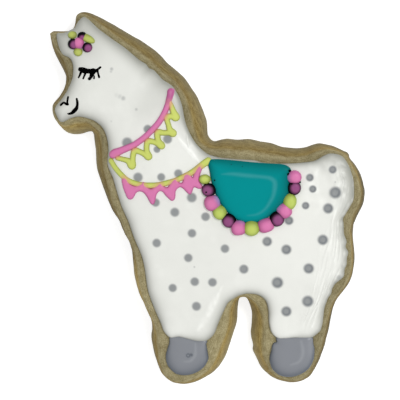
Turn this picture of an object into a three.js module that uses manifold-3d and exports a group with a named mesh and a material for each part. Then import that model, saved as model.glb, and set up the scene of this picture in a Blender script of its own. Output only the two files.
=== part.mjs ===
/**
 * Iced sugar cookie cut out as a llama: a thick biscuit, a white flood of royal icing that carries
 * two piped collars, a ring of beads and a small flower, a teal saddle blanket, and two grey hooves.
 *
 * Units are millimetres, +Z is up and the cookie lies flat, iced side up, facing -X. The origin is
 * under the middle of the biscuit. Every outline below is listed clockwise, seen from above.
 */
import * as THREE from "three";
import { ConvexHull } from "three/addons/math/ConvexHull.js";
import { mergeVertices } from "three/addons/utils/BufferGeometryUtils.js";
import Module from "manifold-3d";

const wasm = await Module();
wasm.setup();

// ---------------------------------------------------------------- driving dimensions

const BISCUIT = {
  thickness: 10,
  foot: 0.7, // how far the underside is rounded in
  widest: 1.5, // height of the widest section
  brow: 0.5, // rounding of the upper edge, past the leaning wall
  step: 2.4, // longest step along the outline
};
const FLOOD = { thickness: 1.75, rim: 0.4, shoulder: 5.5, step: 2.2, cell: 3.0 };
const SADDLE = { thickness: 1.3, rim: 0.35, shoulder: 4.0, step: 1.8, cell: 2.2 };
const HOOF = { thickness: 1.5, rim: 0.4, shoulder: 4.0, step: 2.0, cell: 2.2 };
const SADDLE_SHOULDER = 0.8; // the flood's edge is steep where the saddle hangs over it
const CLEARANCE = 0.3; // gap between separate pools of icing
const PIPING = { height: 0.7, sink: 0.45, step: 1.8 };
const BEAD = { height: 0.43, sink: 0.4, sides: 12 }; // height as a share of the bead's width
const PETAL = { height: 0.38, sink: 0.3, sides: 8 };
const SPREAD = 2.0; // nicks in the foot of the wall fade out over this length further up

// Outline of the biscuit's widest section: x, y, and how far the wall leans in from there to the top.
const BISCUIT_OUTLINE = [
  // front ear, notch, rear ear
  [-47.3, 49.2, 1.8], [-47.2, 50.6, 1.7], [-46.2, 51.5, 1.2], [-44.7, 51.3, 0.7],
  [-42.6, 51.1, 0.4], [-41.1, 51.4, 1.2], [-40.1, 52.0, 2.2],
  [-39.7, 53.2, 2.3], [-39.6, 55.0, 1.9], [-38.7, 56.6, 1.1], [-36.0, 57.0, 1.0], [-33.2, 55.9, 1.4],
  // crest of the neck and nape
  [-29.5, 54.0, 1.9], [-25.7, 51.7, 2.5], [-21.3, 49.2, 2.9], [-18.0, 47.2, 3.0], [-14.7, 44.9, 3.2],
  [-11.7, 41.7, 3.0], [-7.7, 38.3, 2.6], [-5.4, 35.3, 2.5], [-2.8, 31.5, 3.1], [-1.1, 27.5, 3.9],
  [0.1, 23.8, 4.2], [0.3, 20.3, 3.6],
  // withers and back
  [1.4, 18.9, 2.6], [2.1, 18.5, 2.4], [3.0, 18.8, 2.6], [6.0, 19.4, 3.2], [8.8, 19.0, 3.2],
  [12.3, 19.2, 3.4], [15.8, 18.5, 3.3], [19.0, 18.1, 3.4], [22.0, 17.1, 2.8], [25.1, 16.6, 2.5],
  [29.0, 16.8, 2.5], [33.0, 18.2, 2.1], [35.5, 17.7, 1.2], [38.4, 16.8, 0.7], [40.4, 15.8, 0.5],
  // rump, with a crumb of dough standing out, and haunch
  [41.7, 15.3, 0.9], [42.3, 14.5, 1.1], [42.2, 13.7, 1.1], [43.6, 12.3, 1.3], [45.7, 9.2, 1.7],
  [46.7, 6.1, 1.8], [47.2, 2.8, 1.9], [46.8, -0.3, 2.2], [45.1, -4.0, 2.4], [44.1, -7.1, 1.9],
  [44.0, -10.0, 1.5], [44.5, -14.5, 1.6], [44.5, -18.7, 1.7], [43.6, -23.1, 1.9], [41.4, -26.5, 2.0],
  [39.2, -29.7, 2.0], [38.3, -32.5, 1.9],
  // hind leg, foot and the ragged inside of the leg
  [37.2, -38.8, 1.9], [35.8, -44.6, 2.0], [33.7, -50.1, 2.3], [31.6, -53.6, 2.6], [29.0, -55.1, 2.8],
  [25.9, -55.7, 3.0], [22.5, -55.1, 3.0], [18.9, -53.4, 3.0], [16.2, -50.6, 3.2], [14.8, -47.6, 3.4],
  [13.6, -45.5, 3.6], [13.9, -44.2, 3.8], [13.2, -41.3, 4.0], [13.2, -37.8, 4.2], [13.4, -33.9, 4.0],
  // fork between the legs
  [12.6, -30.6, 2.8], [11.9, -29.3, 2.2], [11.0, -28.9, 2.1], [10.0, -29.2, 2.1], [9.5, -32.0, 2.4],
  // foreleg and foot
  [9.4, -35.9, 2.6], [8.5, -39.7, 2.8], [6.9, -44.4, 3.0], [5.6, -48.2, 3.0], [3.0, -52.3, 3.0],
  [0.3, -54.4, 3.0], [-3.6, -56.3, 3.0], [-7.5, -57.1, 3.0], [-11.7, -56.1, 2.8], [-14.1, -54.0, 2.6],
  [-15.9, -49.9, 2.4], [-17.1, -45.3, 3.0], [-17.6, -42.4, 3.0], [-17.3, -38.6, 2.6], [-17.6, -36.2, 1.9],
  // belly and chest
  [-19.0, -33.0, 1.9], [-21.4, -28.0, 2.4], [-22.6, -23.0, 2.6], [-23.0, -18.9, 2.6], [-23.5, -14.0, 2.0],
  [-24.4, -11.6, 1.6], [-25.6, -9.8, 1.9], [-26.9, -6.6, 2.0], [-29.6, -2.2, 2.7], [-31.3, 2.5, 3.2],
  [-32.8, 6.4, 3.6], [-34.0, 10.1, 3.9],
  // front of the neck, throat and chin
  [-34.3, 14.4, 4.2], [-34.6, 18.4, 4.2], [-34.7, 20.3, 3.9], [-35.3, 21.1, 3.4], [-37.1, 20.6, 3.8],
  [-39.3, 20.1, 4.2], [-42.3, 20.4, 2.9], [-44.8, 22.5, 1.8], [-46.3, 25.5, 1.2],
  // muzzle, forehead and the front of the ear
  [-47.3, 28.5, 1.6], [-46.5, 30.3, 1.9], [-44.8, 32.0, 2.1], [-43.4, 34.6, 2.5], [-42.9, 37.4, 2.9],
  [-44.0, 40.3, 3.1], [-45.8, 43.6, 2.6], [-46.7, 46.2, 2.2],
];

// Outline of the white flood.
const FLOOD_OUTLINE = [
  // ears
  [-43.4, 49.8], [-41.6, 49.8], [-39.6, 50.1], [-37.8, 51.1], [-37.2, 52.5], [-36.6, 53.7], [-35.4, 54.6], [-33.9, 53.8],
  // crest of the neck and nape
  [-31.3, 51.4], [-28.0, 48.9], [-23.0, 45.4], [-19.0, 42.1], [-17.2, 41.0], [-16.4, 39.9], [-15.0, 39.3],
  [-12.5, 36.7], [-9.4, 34.5], [-7.9, 32.1], [-6.7, 28.8], [-6.0, 25.0], [-4.6, 21.2], [-2.3, 17.6],
  // back and rump
  [0.9, 15.0], [3.6, 14.2], [9.5, 13.6], [14.4, 13.3], [17.2, 12.6], [22.0, 12.4], [28.0, 12.7],
  [32.0, 13.4], [34.6, 14.9], [36.6, 15.4], [39.4, 14.7], [41.1, 12.6], [42.6, 8.8], [43.2, 5.0],
  // haunch and tail
  [43.0, 2.3], [41.7, 0.0], [40.2, -4.0], [40.3, -7.2], [41.5, -12.5], [41.2, -18.0], [40.6, -20.6],
  [38.2, -23.1], [36.5, -26.2], [35.2, -29.4],
  // hind leg, down to the hoof and up again
  [34.8, -34.0], [33.9, -37.2], [31.5, -39.2], [26.5, -39.3], [21.5, -39.5], [19.7, -37.8], [18.9, -35.0],
  [18.7, -31.2], [17.9, -28.3], [15.8, -26.6], [12.8, -26.2], [9.5, -27.1], [7.0, -28.9],
  // foreleg, down to the hoof and up again
  [5.4, -32.0], [3.8, -35.8], [2.6, -38.8], [0.2, -40.9], [-2.4, -41.1], [-5.6, -40.3], [-8.0, -39.8],
  [-10.3, -40.2], [-12.3, -38.4], [-13.3, -35.8], [-15.5, -30.7], [-17.2, -25.6], [-17.9, -20.5],
  // belly, chest and the front of the neck
  [-18.9, -15.6], [-21.2, -10.0], [-22.9, -5.0], [-24.7, -1.0], [-26.5, 4.8], [-27.4, 8.0],
  [-28.9, 11.8], [-28.6, 16.0], [-29.1, 20.0], [-30.6, 23.0], [-33.6, 25.0], [-36.8, 25.8],
  // chin, muzzle and forehead
  [-39.4, 25.4], [-42.4, 24.2], [-43.8, 26.0], [-44.3, 28.3], [-42.3, 30.9], [-40.4, 33.7], [-39.1, 36.7],
  [-38.8, 41.0], [-39.7, 42.8], [-41.8, 44.0], [-43.0, 46.6],
];

const SADDLE_OUTLINE = [
  [1.4, 12.2], [2.7, 13.2], [7.0, 13.2], [13.0, 12.8], [19.0, 12.3], [22.5, 12.2], [24.4, 11.7], [25.0, 10.4],
  [24.4, 8.6], [24.2, 5.6], [23.9, 3.4], [22.8, 1.3], [21.0, -1.2], [18.5, -3.3], [15.3, -4.5],
  [11.8, -4.5], [9.0, -3.6], [7.0, -1.6], [5.0, 0.6], [3.6, 3.0], [2.6, 6.0], [1.9, 8.2], [1.6, 10.2],
];

const FRONT_HOOF_OUTLINE = [
  [-10.1, -40.6], [-8.0, -40.2], [-5.4, -40.75], [-2.3, -41.5], [0.0, -41.3], [0.6, -43.4], [1.0, -46.0],
  [-0.3, -48.8], [-3.0, -50.8], [-6.3, -51.6], [-9.3, -50.9], [-11.3, -48.7], [-11.9, -46.0], [-11.3, -43.3],
];

const HIND_HOOF_OUTLINE = [
  [21.6, -39.95], [26.5, -39.7], [31.2, -39.65], [32.4, -42.0], [32.4, -44.8], [31.4, -47.8], [29.0, -50.1],
  [25.5, -51.3], [22.0, -50.7], [19.8, -48.5], [19.2, -45.8], [19.8, -43.0], [21.1, -40.9],
];

// Piped lines: half width, and the points they pass through.
const PINK_COLLAR = {
  half: 0.95,
  path: [
    [-28.0, 13.9], [-26.8, 15.3], [-23.1, 16.5], [-20.0, 18.1], [-17.2, 20.2], [-14.4, 23.0],
    [-12.3, 25.7], [-11.2, 28.3], [-10.5, 31.0], [-9.9, 33.8],
  ],
};
const LIME_COLLAR = {
  half: 0.75,
  path: [
    [-27.7, 12.4], [-26.8, 11.0], [-24.5, 8.7], [-22.2, 7.2], [-18.9, 6.3], [-15.8, 6.05],
    [-12.3, 6.8], [-8.6, 8.0], [-4.9, 9.7], [-2.0, 11.6], [0.6, 13.5],
  ],
};
// Zigzags, piped from turn to turn.
const LIME_ZIGZAG = {
  half: 0.65,
  turns: [
    [-10.05, 29.9], [-8.6, 25.3], [-11.4, 25.2], [-9.2, 21.1], [-14.2, 21.5], [-12.5, 17.4],
    [-17.0, 18.8], [-16.2, 14.0], [-20.9, 15.7], [-21.3, 11.0], [-25.5, 13.8], [-24.6, 12.8],
  ],
};
const PINK_ZIGZAG = {
  half: 0.95,
  turns: [
    [-23.9, 7.6], [-22.0, 3.3], [-18.3, 5.7], [-15.2, 1.6], [-13.0, 5.7], [-9.6, 2.9], [-8.8, 6.5],
    [-4.8, 4.8], [-5.3, 8.3], [-2.7, 6.2], [-1.9, 10.8],
  ],
  spur: [[-2.7, 6.2], [-1.3, 6.0]],
};

// Beads round the saddle, from the neck round to the rump: x, y, width, length.
const BEADS = [
  [0.05, 7.6, 3.4, 3.1], [1.1, 4.5, 4.1, 4.0], [2.0, 0.8, 4.6, 4.5], [4.3, -2.1, 3.8, 4.1],
  [7.2, -4.15, 3.9, 4.1], [9.85, -6.4, 4.0, 4.4], [13.7, -6.5, 4.3, 4.5], [17.7, -5.6, 4.0, 4.1],
  [21.1, -3.7, 4.0, 4.3], [23.4, -1.5, 3.7, 3.9], [24.8, 1.5, 3.3, 4.5], [26.1, 5.2, 3.6, 3.9],
  [26.2, 8.4, 3.9, 3.9],
];
// Flower below the ears, middle first: x, y, width, length, turn in degrees.
const FLOWER = [
  [-36.5, 47.4, 2.4, 2.9, 0], [-38.6, 46.9, 2.8, 2.9, 0], [-33.9, 45.8, 2.6, 2.6, 0], [-35.4, 49.1, 2.6, 2.4, 0],
  [-38.5, 49.4, 2.4, 2.1, 0], [-36.8, 44.6, 2.5, 2.3, 0], [-33.6, 48.2, 3.5, 2.1, -25],
];

// ---------------------------------------------------------------- outlines

/** Closed smooth loop through the listed rows, counter-clockwise; a third number rides along in z. */
function closedLoop(rows, step) {
  const points = rows.map(([x, y, extra = 0]) => new THREE.Vector3(x, y, extra)).reverse();
  const curve = new THREE.CatmullRomCurve3(points, true, "centripetal");
  const loop = [];
  points.forEach((point, i) => {
    const length = point.distanceTo(points[(i + 1) % points.length]);
    const parts = Math.max(1, Math.round(length / step));
    for (let j = 0; j < parts; j += 1) loop.push(curve.getPoint((i + j / parts) / points.length));
  });
  return loop;
}

/** The loop averaged along its own length, with a bell-shaped weight `width` millimetres wide. */
function smoothed(loop, width) {
  const count = loop.length;
  return loop.map((point, i) => {
    const sum = point.clone();
    let total = 1;
    for (const way of [1, -1]) {
      let walked = 0;
      for (let k = 1; k < count / 2; k += 1) {
        const here = loop[(i + way * k + count) % count];
        walked += here.distanceTo(loop[(i + way * (k - 1) + count) % count]);
        const weight = Math.exp(-((walked / width) ** 2));
        if (weight < 0.01) break;
        sum.addScaledVector(here, weight);
        total += weight;
      }
    }
    return sum.divideScalar(total);
  });
}

/** Unit directions, in plan, that point into a counter-clockwise loop. */
function inward(loop) {
  return loop.map((_, i) => {
    const before = loop[(i + loop.length - 1) % loop.length];
    const after = loop[(i + 1) % loop.length];
    return new THREE.Vector2(before.y - after.y, after.x - before.x).normalize();
  });
}

/** The loop moved into its own inside by `inset`, at height z. */
function insetRing(loop, inset, z) {
  const into = inward(loop);
  return loop.map((p, i) => new THREE.Vector3(p.x + into[i].x * inset, p.y + into[i].y * inset, z));
}

/** Shortest distance in plan from a point to a loop. */
function distanceTo(loop, x, y) {
  let best = Infinity;
  loop.forEach((a, i) => {
    const b = loop[(i + 1) % loop.length];
    const along = (x - a.x) * (b.x - a.x) + (y - a.y) * (b.y - a.y);
    const share = THREE.MathUtils.clamp(along / ((b.x - a.x) ** 2 + (b.y - a.y) ** 2), 0, 1);
    best = Math.min(best, Math.hypot(x - a.x - share * (b.x - a.x), y - a.y - share * (b.y - a.y)));
  });
  return best;
}

/** True where the point lies inside the loop, by the even-odd rule. */
function isInside(loop, x, y) {
  let inside = false;
  loop.forEach((a, i) => {
    const b = loop[(i + 1) % loop.length];
    if (a.y > y !== b.y > y && x < a.x + ((y - a.y) / (b.y - a.y)) * (b.x - a.x)) inside = !inside;
  });
  return inside;
}

// ---------------------------------------------------------------- surfaces

/** Bands of triangles between rings of equal length, from the lowest ring up. */
function bandsBetween(rings) {
  const count = rings[0].length;
  const faces = [];
  for (let r = 0; r + 1 < rings.length; r += 1) {
    for (let i = 0; i < count; i += 1) {
      const a = r * count + i;
      const b = r * count + ((i + 1) % count);
      faces.push([a, b, b + count], [a, b + count, a + count]);
    }
  }
  return faces;
}

/** Flat triangles that fill a ring, with indices from `start`; `up` is false for an underside. */
function fill(ring, start, up) {
  const contour = ring.map((p) => new THREE.Vector2(p.x, p.y));
  return THREE.ShapeUtils.triangulateShape(contour, []).map(([a, b, c]) =>
    up ? [start + a, start + b, start + c] : [start + a, start + c, start + b],
  );
}

function geometryFrom(points, faces) {
  const geometry = new THREE.BufferGeometry().setFromPoints(points);
  geometry.setIndex(faces.flat());
  return geometry;
}

/** Delaunay triangles of points in plan: the lower side of the hull of the points on a paraboloid. */
function delaunay(points) {
  const lifted = points.map((p) => new THREE.Vector3(p.x, p.y, (p.x * p.x + p.y * p.y) / 100));
  const indexOf = new Map(lifted.map((p, i) => [p, i]));
  return new ConvexHull()
    .setFromPoints(lifted)
    .faces.filter((face) => face.normal.z < 0)
    .map((face) => [0, 2, 1].map((k) => indexOf.get(face.getEdge(k).head().point)));
}

/**
 * Cap of a pool of icing: the ring and a triangular grid of points inside it, lifted to heightAt.
 * Returns the inner points and the faces; indices from 0 mean the ring, from its length the points.
 */
function domedCap(ring, cell, heightAt) {
  const box = new THREE.Box2().setFromPoints(ring);
  const rise = (cell * Math.sqrt(3)) / 2;
  const inner = [];
  for (let row = 0; box.min.y + row * rise < box.max.y; row += 1) {
    for (let column = 0; box.min.x + column * cell < box.max.x; column += 1) {
      // A slow wobble keeps four points from lying on one circle.
      const x = box.min.x + (column + (row % 2) / 2 + 0.04 * Math.sin(3 * row + column)) * cell;
      const y = box.min.y + (row + 0.04 * Math.sin(5 * column + row)) * rise;
      if (isInside(ring, x, y) && distanceTo(ring, x, y) > cell * 0.45) {
        inner.push(new THREE.Vector3(x, y, heightAt(x, y)));
      }
    }
  }
  const points = [...ring, ...inner];
  const faces = delaunay(points).filter((face) => {
    const [x, y] = ["x", "y"].map((axis) => face.reduce((sum, i) => sum + points[i][axis] / 3, 0));
    return isInside(ring, x, y);
  });
  return { inner, faces };
}

/** Height over its base of a pool that rises as a quarter ellipse from its rim to its full thickness. */
function poolHeight({ thickness, rim }, shoulder, distance) {
  const short = 1 - Math.min(distance / shoulder, 1);
  return rim + (thickness - rim) * Math.sqrt(1 - short ** 2.2);
}

/** Closed solid of a pool of icing that lies flat at height `base` inside an outline. */
function pool(loop, size, base, shoulderAt = () => size.shoulder) {
  const heightAt = (x, y) => base + poolHeight(size, shoulderAt(x, y), distanceTo(loop, x, y));
  const lip = size.rim * 0.8;
  const crown = insetRing(loop, lip, 0).map((p) => p.setZ(heightAt(p.x, p.y)));
  const rings = [insetRing(loop, size.rim * 0.3, base), insetRing(loop, 0, base + size.rim * 0.7), crown];
  const cap = domedCap(crown, size.cell, heightAt);
  const top = loop.length * 2;
  const faces = [
    ...fill(rings[0], 0, false),
    ...bandsBetween(rings),
    ...cap.faces.map((face) => face.map((i) => i + top)),
  ];
  return { geometry: geometryFrom([...rings.flat(), ...cap.inner], faces), heightAt };
}

/** Low dome standing on a surface at z, sunk into it a little. */
function dome(x, y, z, width, length, turn, shape, grow = 0) {
  const rise = shape.height * Math.min(width, length) + grow;
  const profile = [[0, -shape.sink], [0.9, -shape.sink], [1, 0], [0.93, 0.4 * rise], [0.72, 0.74 * rise],
    [0.4, 0.94 * rise], [0, rise]].map(([r, h]) => new THREE.Vector2(r, h));
  const lathe = new THREE.LatheGeometry(profile, shape.sides);
  lathe.rotateX(Math.PI / 2);
  lathe.scale(width / 2 + grow, length / 2 + grow, 1);
  lathe.rotateZ(THREE.MathUtils.degToRad(turn));
  lathe.translate(x, y, z);
  return lathe;
}

/** Piped line with round ends that follows a surface; its section is a low dome on a sunk foot. */
function piped(path, half, surfaceAt, floor, grow = 0) {
  const points = path.map(([x, y]) => new THREE.Vector3(x, y, 0));
  const curve = new THREE.CatmullRomCurve3(points, false, "centripetal");
  const length = curve.getLength();
  const reach = half + grow;
  const steps = Math.max(2, Math.round(length / PIPING.step));
  const stations = [0.06, 0.4, 1].map((share) => share * reach);
  const along = [
    ...stations.map((s) => s - reach),
    ...Array.from({ length: steps - 1 }, (_, i) => ((i + 1) * length) / steps),
    ...stations.reverse().map((s) => length + reach - s),
  ];
  const section = [[1, 0], [0.72, 0.7], [0, 1], [-0.72, 0.7], [-1, 0]];
  const rings = along.map((s) => {
    const at = THREE.MathUtils.clamp(s / length, 0, 1);
    const tangent = curve.getTangentAt(at);
    const centre = curve.getPointAt(at).addScaledVector(tangent, s - at * length);
    const past = Math.max(-s, s - length, 0) / reach;
    const swell = Math.sqrt(1 - past * past);
    const surface = surfaceAt(centre.x, centre.y);
    const low = Math.max(surface - PIPING.sink, floor);
    const place = (side, z) =>
      new THREE.Vector3(centre.x - tangent.y * side * reach * swell, centre.y + tangent.x * side * reach * swell, z);
    return [
      place(0.9, low),
      ...section.map(([side, lift]) => place(side, surface + lift * (PIPING.height + grow) * swell)),
      place(-0.9, low),
    ];
  });
  const count = rings[0].length;
  const last = (rings.length - 1) * count;
  const faces = [
    ...Array.from({ length: count - 2 }, (_, i) => [0, i + 2, i + 1]),
    ...bandsBetween(rings),
    ...Array.from({ length: count - 2 }, (_, i) => [last, last + i + 1, last + i + 2]),
  ];
  return geometryFrom(rings.flat(), faces);
}

// ---------------------------------------------------------------- solids and meshes

function solidOf(geometry) {
  const bare = geometry.clone();
  bare.deleteAttribute("normal");
  bare.deleteAttribute("uv");
  const merged = mergeVertices(bare, 1e-5);
  return new wasm.Manifold(
    new wasm.Mesh({
      numProp: 3,
      vertProperties: new Float32Array(merged.attributes.position.array),
      triVerts: new Uint32Array(merged.index.array),
    }),
  );
}

const united = (solids) => solids.reduce((whole, piece) => whole.add(piece));

function meshOf(name, solid, finish) {
  const { vertProperties, triVerts } = solid.getMesh();
  const geometry = new THREE.BufferGeometry();
  geometry.setAttribute("position", new THREE.BufferAttribute(new Float32Array(vertProperties), 3));
  geometry.setIndex(new THREE.BufferAttribute(new Uint32Array(triVerts), 1));
  geometry.computeVertexNormals();
  const mesh = new THREE.Mesh(geometry, new THREE.MeshStandardMaterial({ metalness: 0, ...finish }));
  mesh.name = name;
  return mesh;
}

// ---------------------------------------------------------------- the pieces

/** Thick cut-out biscuit: its wall leans in by each outline point's own amount and rounds over on top. */
function biscuitSolid() {
  const foot = closedLoop(BISCUIT_OUTLINE, BISCUIT.step);
  const calm = smoothed(foot, SPREAD);
  const into = inward(calm);
  // Height share, share of the lean, and extra inset of each ring.
  const sections = [[0, 0, BISCUIT.foot], [BISCUIT.widest / BISCUIT.thickness, 0, 0], [0.45, 0.22, 0],
    [0.75, 0.6, 0], [0.93, 0.92, 0], [1, 1, BISCUIT.brow]];
  const rings = sections.map(([share, lean, inset]) =>
    foot.map((p, i) => {
      const wall = p.clone().lerp(calm[i], Math.min(1, lean * 1.5));
      const reach = calm[i].z * lean + inset;
      return new THREE.Vector3(wall.x + into[i].x * reach, wall.y + into[i].y * reach, share * BISCUIT.thickness);
    }),
  );
  const top = (rings.length - 1) * foot.length;
  const faces = [...fill(rings[0], 0, false), ...bandsBetween(rings), ...fill(rings.at(-1), top, true)];
  return solidOf(geometryFrom(rings.flat(), faces));
}

/** Beads as domes on a level surface; grown beads cut their own room out of a neighbour. */
function beadDomes(surface, grow = 0) {
  return BEADS.map(([x, y, width, length]) => solidOf(dome(x, y, surface, width, length, 0, BEAD, grow)));
}

/** White flood with the collars, zigzags, beads and flower fused to it. */
function whiteIcingSolid(base, saddleLoop) {
  const loop = closedLoop(FLOOD_OUTLINE, FLOOD.step);
  const shoulderAt = (x, y) => {
    const away = isInside(saddleLoop, x, y) ? 0 : distanceTo(saddleLoop, x, y);
    return THREE.MathUtils.lerp(SADDLE_SHOULDER, FLOOD.shoulder, THREE.MathUtils.smoothstep(away, 0.3, 4));
  };
  const flood = pool(loop, FLOOD, base, shoulderAt);
  const line = (path, half) => solidOf(piped(path, half, flood.heightAt, base + 0.05));
  const zigzag = ({ turns, half }) => turns.slice(1).map((turn, i) => line([turns[i], turn], half));
  const petals = FLOWER.map(([x, y, width, length, turn]) =>
    solidOf(dome(x, y, flood.heightAt(x, y), width, length, turn, PETAL)),
  );
  return united([
    solidOf(flood.geometry),
    line(PINK_COLLAR.path, PINK_COLLAR.half),
    line(LIME_COLLAR.path, LIME_COLLAR.half),
    ...zigzag(LIME_ZIGZAG),
    ...zigzag(PINK_ZIGZAG),
    line(PINK_ZIGZAG.spur, PINK_ZIGZAG.half),
    ...beadDomes(base + FLOOD.thickness),
    ...petals,
  ]);
}

/** Teal saddle blanket on the flood, cut back from the beads and the end of the collar. */
function saddleSolid(base, saddleLoop) {
  const whole = solidOf(pool(saddleLoop, SADDLE, base).geometry);
  const collarEnd = solidOf(piped(LIME_COLLAR.path.slice(-3), LIME_COLLAR.half, () => base, 0, CLEARANCE));
  return whole.subtract(united([...beadDomes(base, CLEARANCE), collarEnd]));
}

const hoofSolid = (outline, base) => solidOf(pool(closedLoop(outline, HOOF.step), HOOF, base).geometry);

const biscuitTop = BISCUIT.thickness;
const floodTop = biscuitTop + FLOOD.thickness;
const saddleLoop = closedLoop(SADDLE_OUTLINE, SADDLE.step);

const cookie = new THREE.Group();
cookie.add(
  meshOf("biscuit", biscuitSolid(), { color: 0x8f7d55, roughness: 0.9 }),
  meshOf("white_icing", whiteIcingSolid(biscuitTop, saddleLoop), { color: 0xe4e5df, roughness: 0.5 }),
  meshOf("saddle_icing", saddleSolid(floodTop, saddleLoop), { color: 0x038d90, roughness: 0.45 }),
  meshOf("front_hoof_icing", hoofSolid(FRONT_HOOF_OUTLINE, biscuitTop), { color: 0x8a8b90, roughness: 0.45 }),
  meshOf("hind_hoof_icing", hoofSolid(HIND_HOOF_OUTLINE, biscuitTop), { color: 0x8a8b90, roughness: 0.45 }),
);

export default cookie;
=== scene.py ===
"""Looks of a llama-shaped iced sugar cookie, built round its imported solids.

Sizes are in millimetres until a mesh is written, which is in metres. +Z is up and the llama
faces -X. Each sub-assembly is a class that builds its meshes and dresses them.
"""

import logging
from dataclasses import dataclass, field
from enum import Enum
from typing import Any

import bpy
import numpy as np
from mathutils import Matrix, Vector
from mathutils.geometry import delaunay_2d_cdt


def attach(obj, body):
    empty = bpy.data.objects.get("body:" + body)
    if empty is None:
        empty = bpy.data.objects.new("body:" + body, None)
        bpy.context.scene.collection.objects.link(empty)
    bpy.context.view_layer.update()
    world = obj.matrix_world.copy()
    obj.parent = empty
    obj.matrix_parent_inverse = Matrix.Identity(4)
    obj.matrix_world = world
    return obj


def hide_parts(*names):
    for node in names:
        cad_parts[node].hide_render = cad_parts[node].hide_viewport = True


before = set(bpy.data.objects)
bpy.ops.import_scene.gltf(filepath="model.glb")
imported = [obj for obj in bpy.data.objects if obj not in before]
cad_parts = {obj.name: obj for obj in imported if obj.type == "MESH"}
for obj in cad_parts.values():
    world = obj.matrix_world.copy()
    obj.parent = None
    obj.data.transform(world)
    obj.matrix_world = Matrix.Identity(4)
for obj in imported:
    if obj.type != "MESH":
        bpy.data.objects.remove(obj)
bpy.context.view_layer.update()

LOG = logging.getLogger("cookie")
MM = 0.001
CREASE = np.radians(65)  # edges sharper than this aren't smoothed over
Array = np.ndarray
Material = bpy.types.Material


# ------------------------------------------------------------------ arrays


def refine(points: Array, parts: int, closed: bool = True) -> Array:
    """Catmull-Rom curve through points along the first axis.

    Each span is the cubic whose end tangents are half the chord between the neighbours.

    Args:
        points: Points, with the order of the curve on the first axis.
        parts: New points in each span.
        closed: Whether the last point runs on into the first.

    Returns:
        The finer row of points.
    """
    if closed:
        before, start, end, after = (np.roll(points, k, axis=0)[:, None] for k in (1, 0, -1, -2))
    else:
        ends = 2 * points[:1] - points[1:2], 2 * points[-1:] - points[-2:-1]
        padded = np.concatenate([ends[0], points, ends[1]])[:, None]
        before, start, end, after = padded[:-3], padded[1:-2], padded[2:-1], padded[3:]
    t = (np.arange(parts) / parts).reshape(1, -1, *([1] * (points.ndim - 1)))
    bend = 2 * before - 5 * start + 4 * end - after + t * (3 * (start - end) + after - before)
    curve = (start + 0.5 * t * (end - before + t * bend)).reshape(-1, *points.shape[1:])
    return curve if closed else np.concatenate([curve, points[-1:]])


def evenly(curve: Array, spacing: float, closed: bool = True) -> Array:
    """Points at even steps along a polyline.

    Args:
        curve: Corners of the polyline.
        spacing: Rough length of a step.
        closed: Whether the polyline ends where it starts.

    Returns:
        The evenly spaced points.
    """
    path = np.concatenate([curve, curve[:1]]) if closed else curve
    walked = np.concatenate([[0.0], np.cumsum(np.linalg.norm(np.diff(path, axis=0), axis=1))])
    count = max(2, round(walked[-1] / spacing))
    at = np.linspace(0, walked[-1], count + 1)
    even = np.stack([np.interp(at, walked, axis) for axis in path.T], 1)
    return even[:-1] if closed else even


def inward(loop: Array) -> Array:
    """Unit normals in plan: the chord between a point's neighbours, turned a quarter to the left.

    Args:
        loop: Corners of a loop, counter-clockwise.

    Returns:
        A normal for each corner, pointing into the loop.
    """
    run = np.roll(loop, -1, 0) - np.roll(loop, 1, 0)
    normal = np.stack([-run[:, 1], run[:, 0]], 1)
    return normal / np.linalg.norm(normal, axis=1, keepdims=True)


def depth_inside(x: Array, y: Array, loop: Array) -> Array:
    """Distance to a closed outline, positive inside it and negative outside.

    The nearest point of each edge is found by projection; the even-odd rule gives the sign.

    Args:
        x: First coordinates.
        y: Second coordinates.
        loop: Corners of the outline.

    Returns:
        Signed distances, shaped like x.
    """
    spots = np.stack([x.ravel(), y.ravel()], 1)
    run = np.roll(loop, -1, 0) - loop
    length = (run**2).sum(1)
    slope = run[:, 0] / np.where(run[:, 1] == 0, 1, run[:, 1])
    depth = np.empty(len(spots))
    for chunk in np.array_split(np.arange(len(spots)), len(spots) // 4000 + 1):
        to = spots[chunk, None] - loop
        share = np.clip((to * run).sum(2) / length, 0, 1)
        gap = np.linalg.norm(to - share[..., None] * run, axis=2).min(1)
        height = spots[chunk, 1, None]
        rises = (loop[:, 1] > height) != (np.roll(loop[:, 1], -1) > height)
        crossed = spots[chunk, 0, None] < loop[:, 0] + (height - loop[:, 1]) * slope
        depth[chunk] = np.where((rises & crossed).sum(1) % 2 == 1, gap, -gap)
    return depth.reshape(x.shape)


def smoothstep(value: Array, low: float, high: float) -> Array:
    """Eases from 0 at low to 1 at high: 3t^2 - 2t^3."""
    t = np.clip((value - low) / (high - low), 0, 1)
    return t * t * (3 - 2 * t)


def spread(spots: tuple[tuple[float, ...], ...], x: Array, y: Array, reach: float) -> list[Array]:
    """Numbers that drift between named spots.

    Each spot's numbers are weighted by exp(-(distance / reach) squared), and the weights add up to one.

    Args:
        spots: Rows of two coordinates and the numbers that hold there.
        x: First coordinates.
        y: Second coordinates.
        reach: Distance over which a spot counts.

    Returns:
        One array for each number of a row.
    """
    rows = np.array(spots).reshape(len(spots), -1, *(1,) * x.ndim)
    weight = np.exp(-((x - rows[:, 0]) ** 2 + (y - rows[:, 1]) ** 2) / reach**2) + 1e-12
    return [(weight * rows[:, k]).sum(0) / weight.sum(0) for k in range(2, rows.shape[1])]


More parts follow.
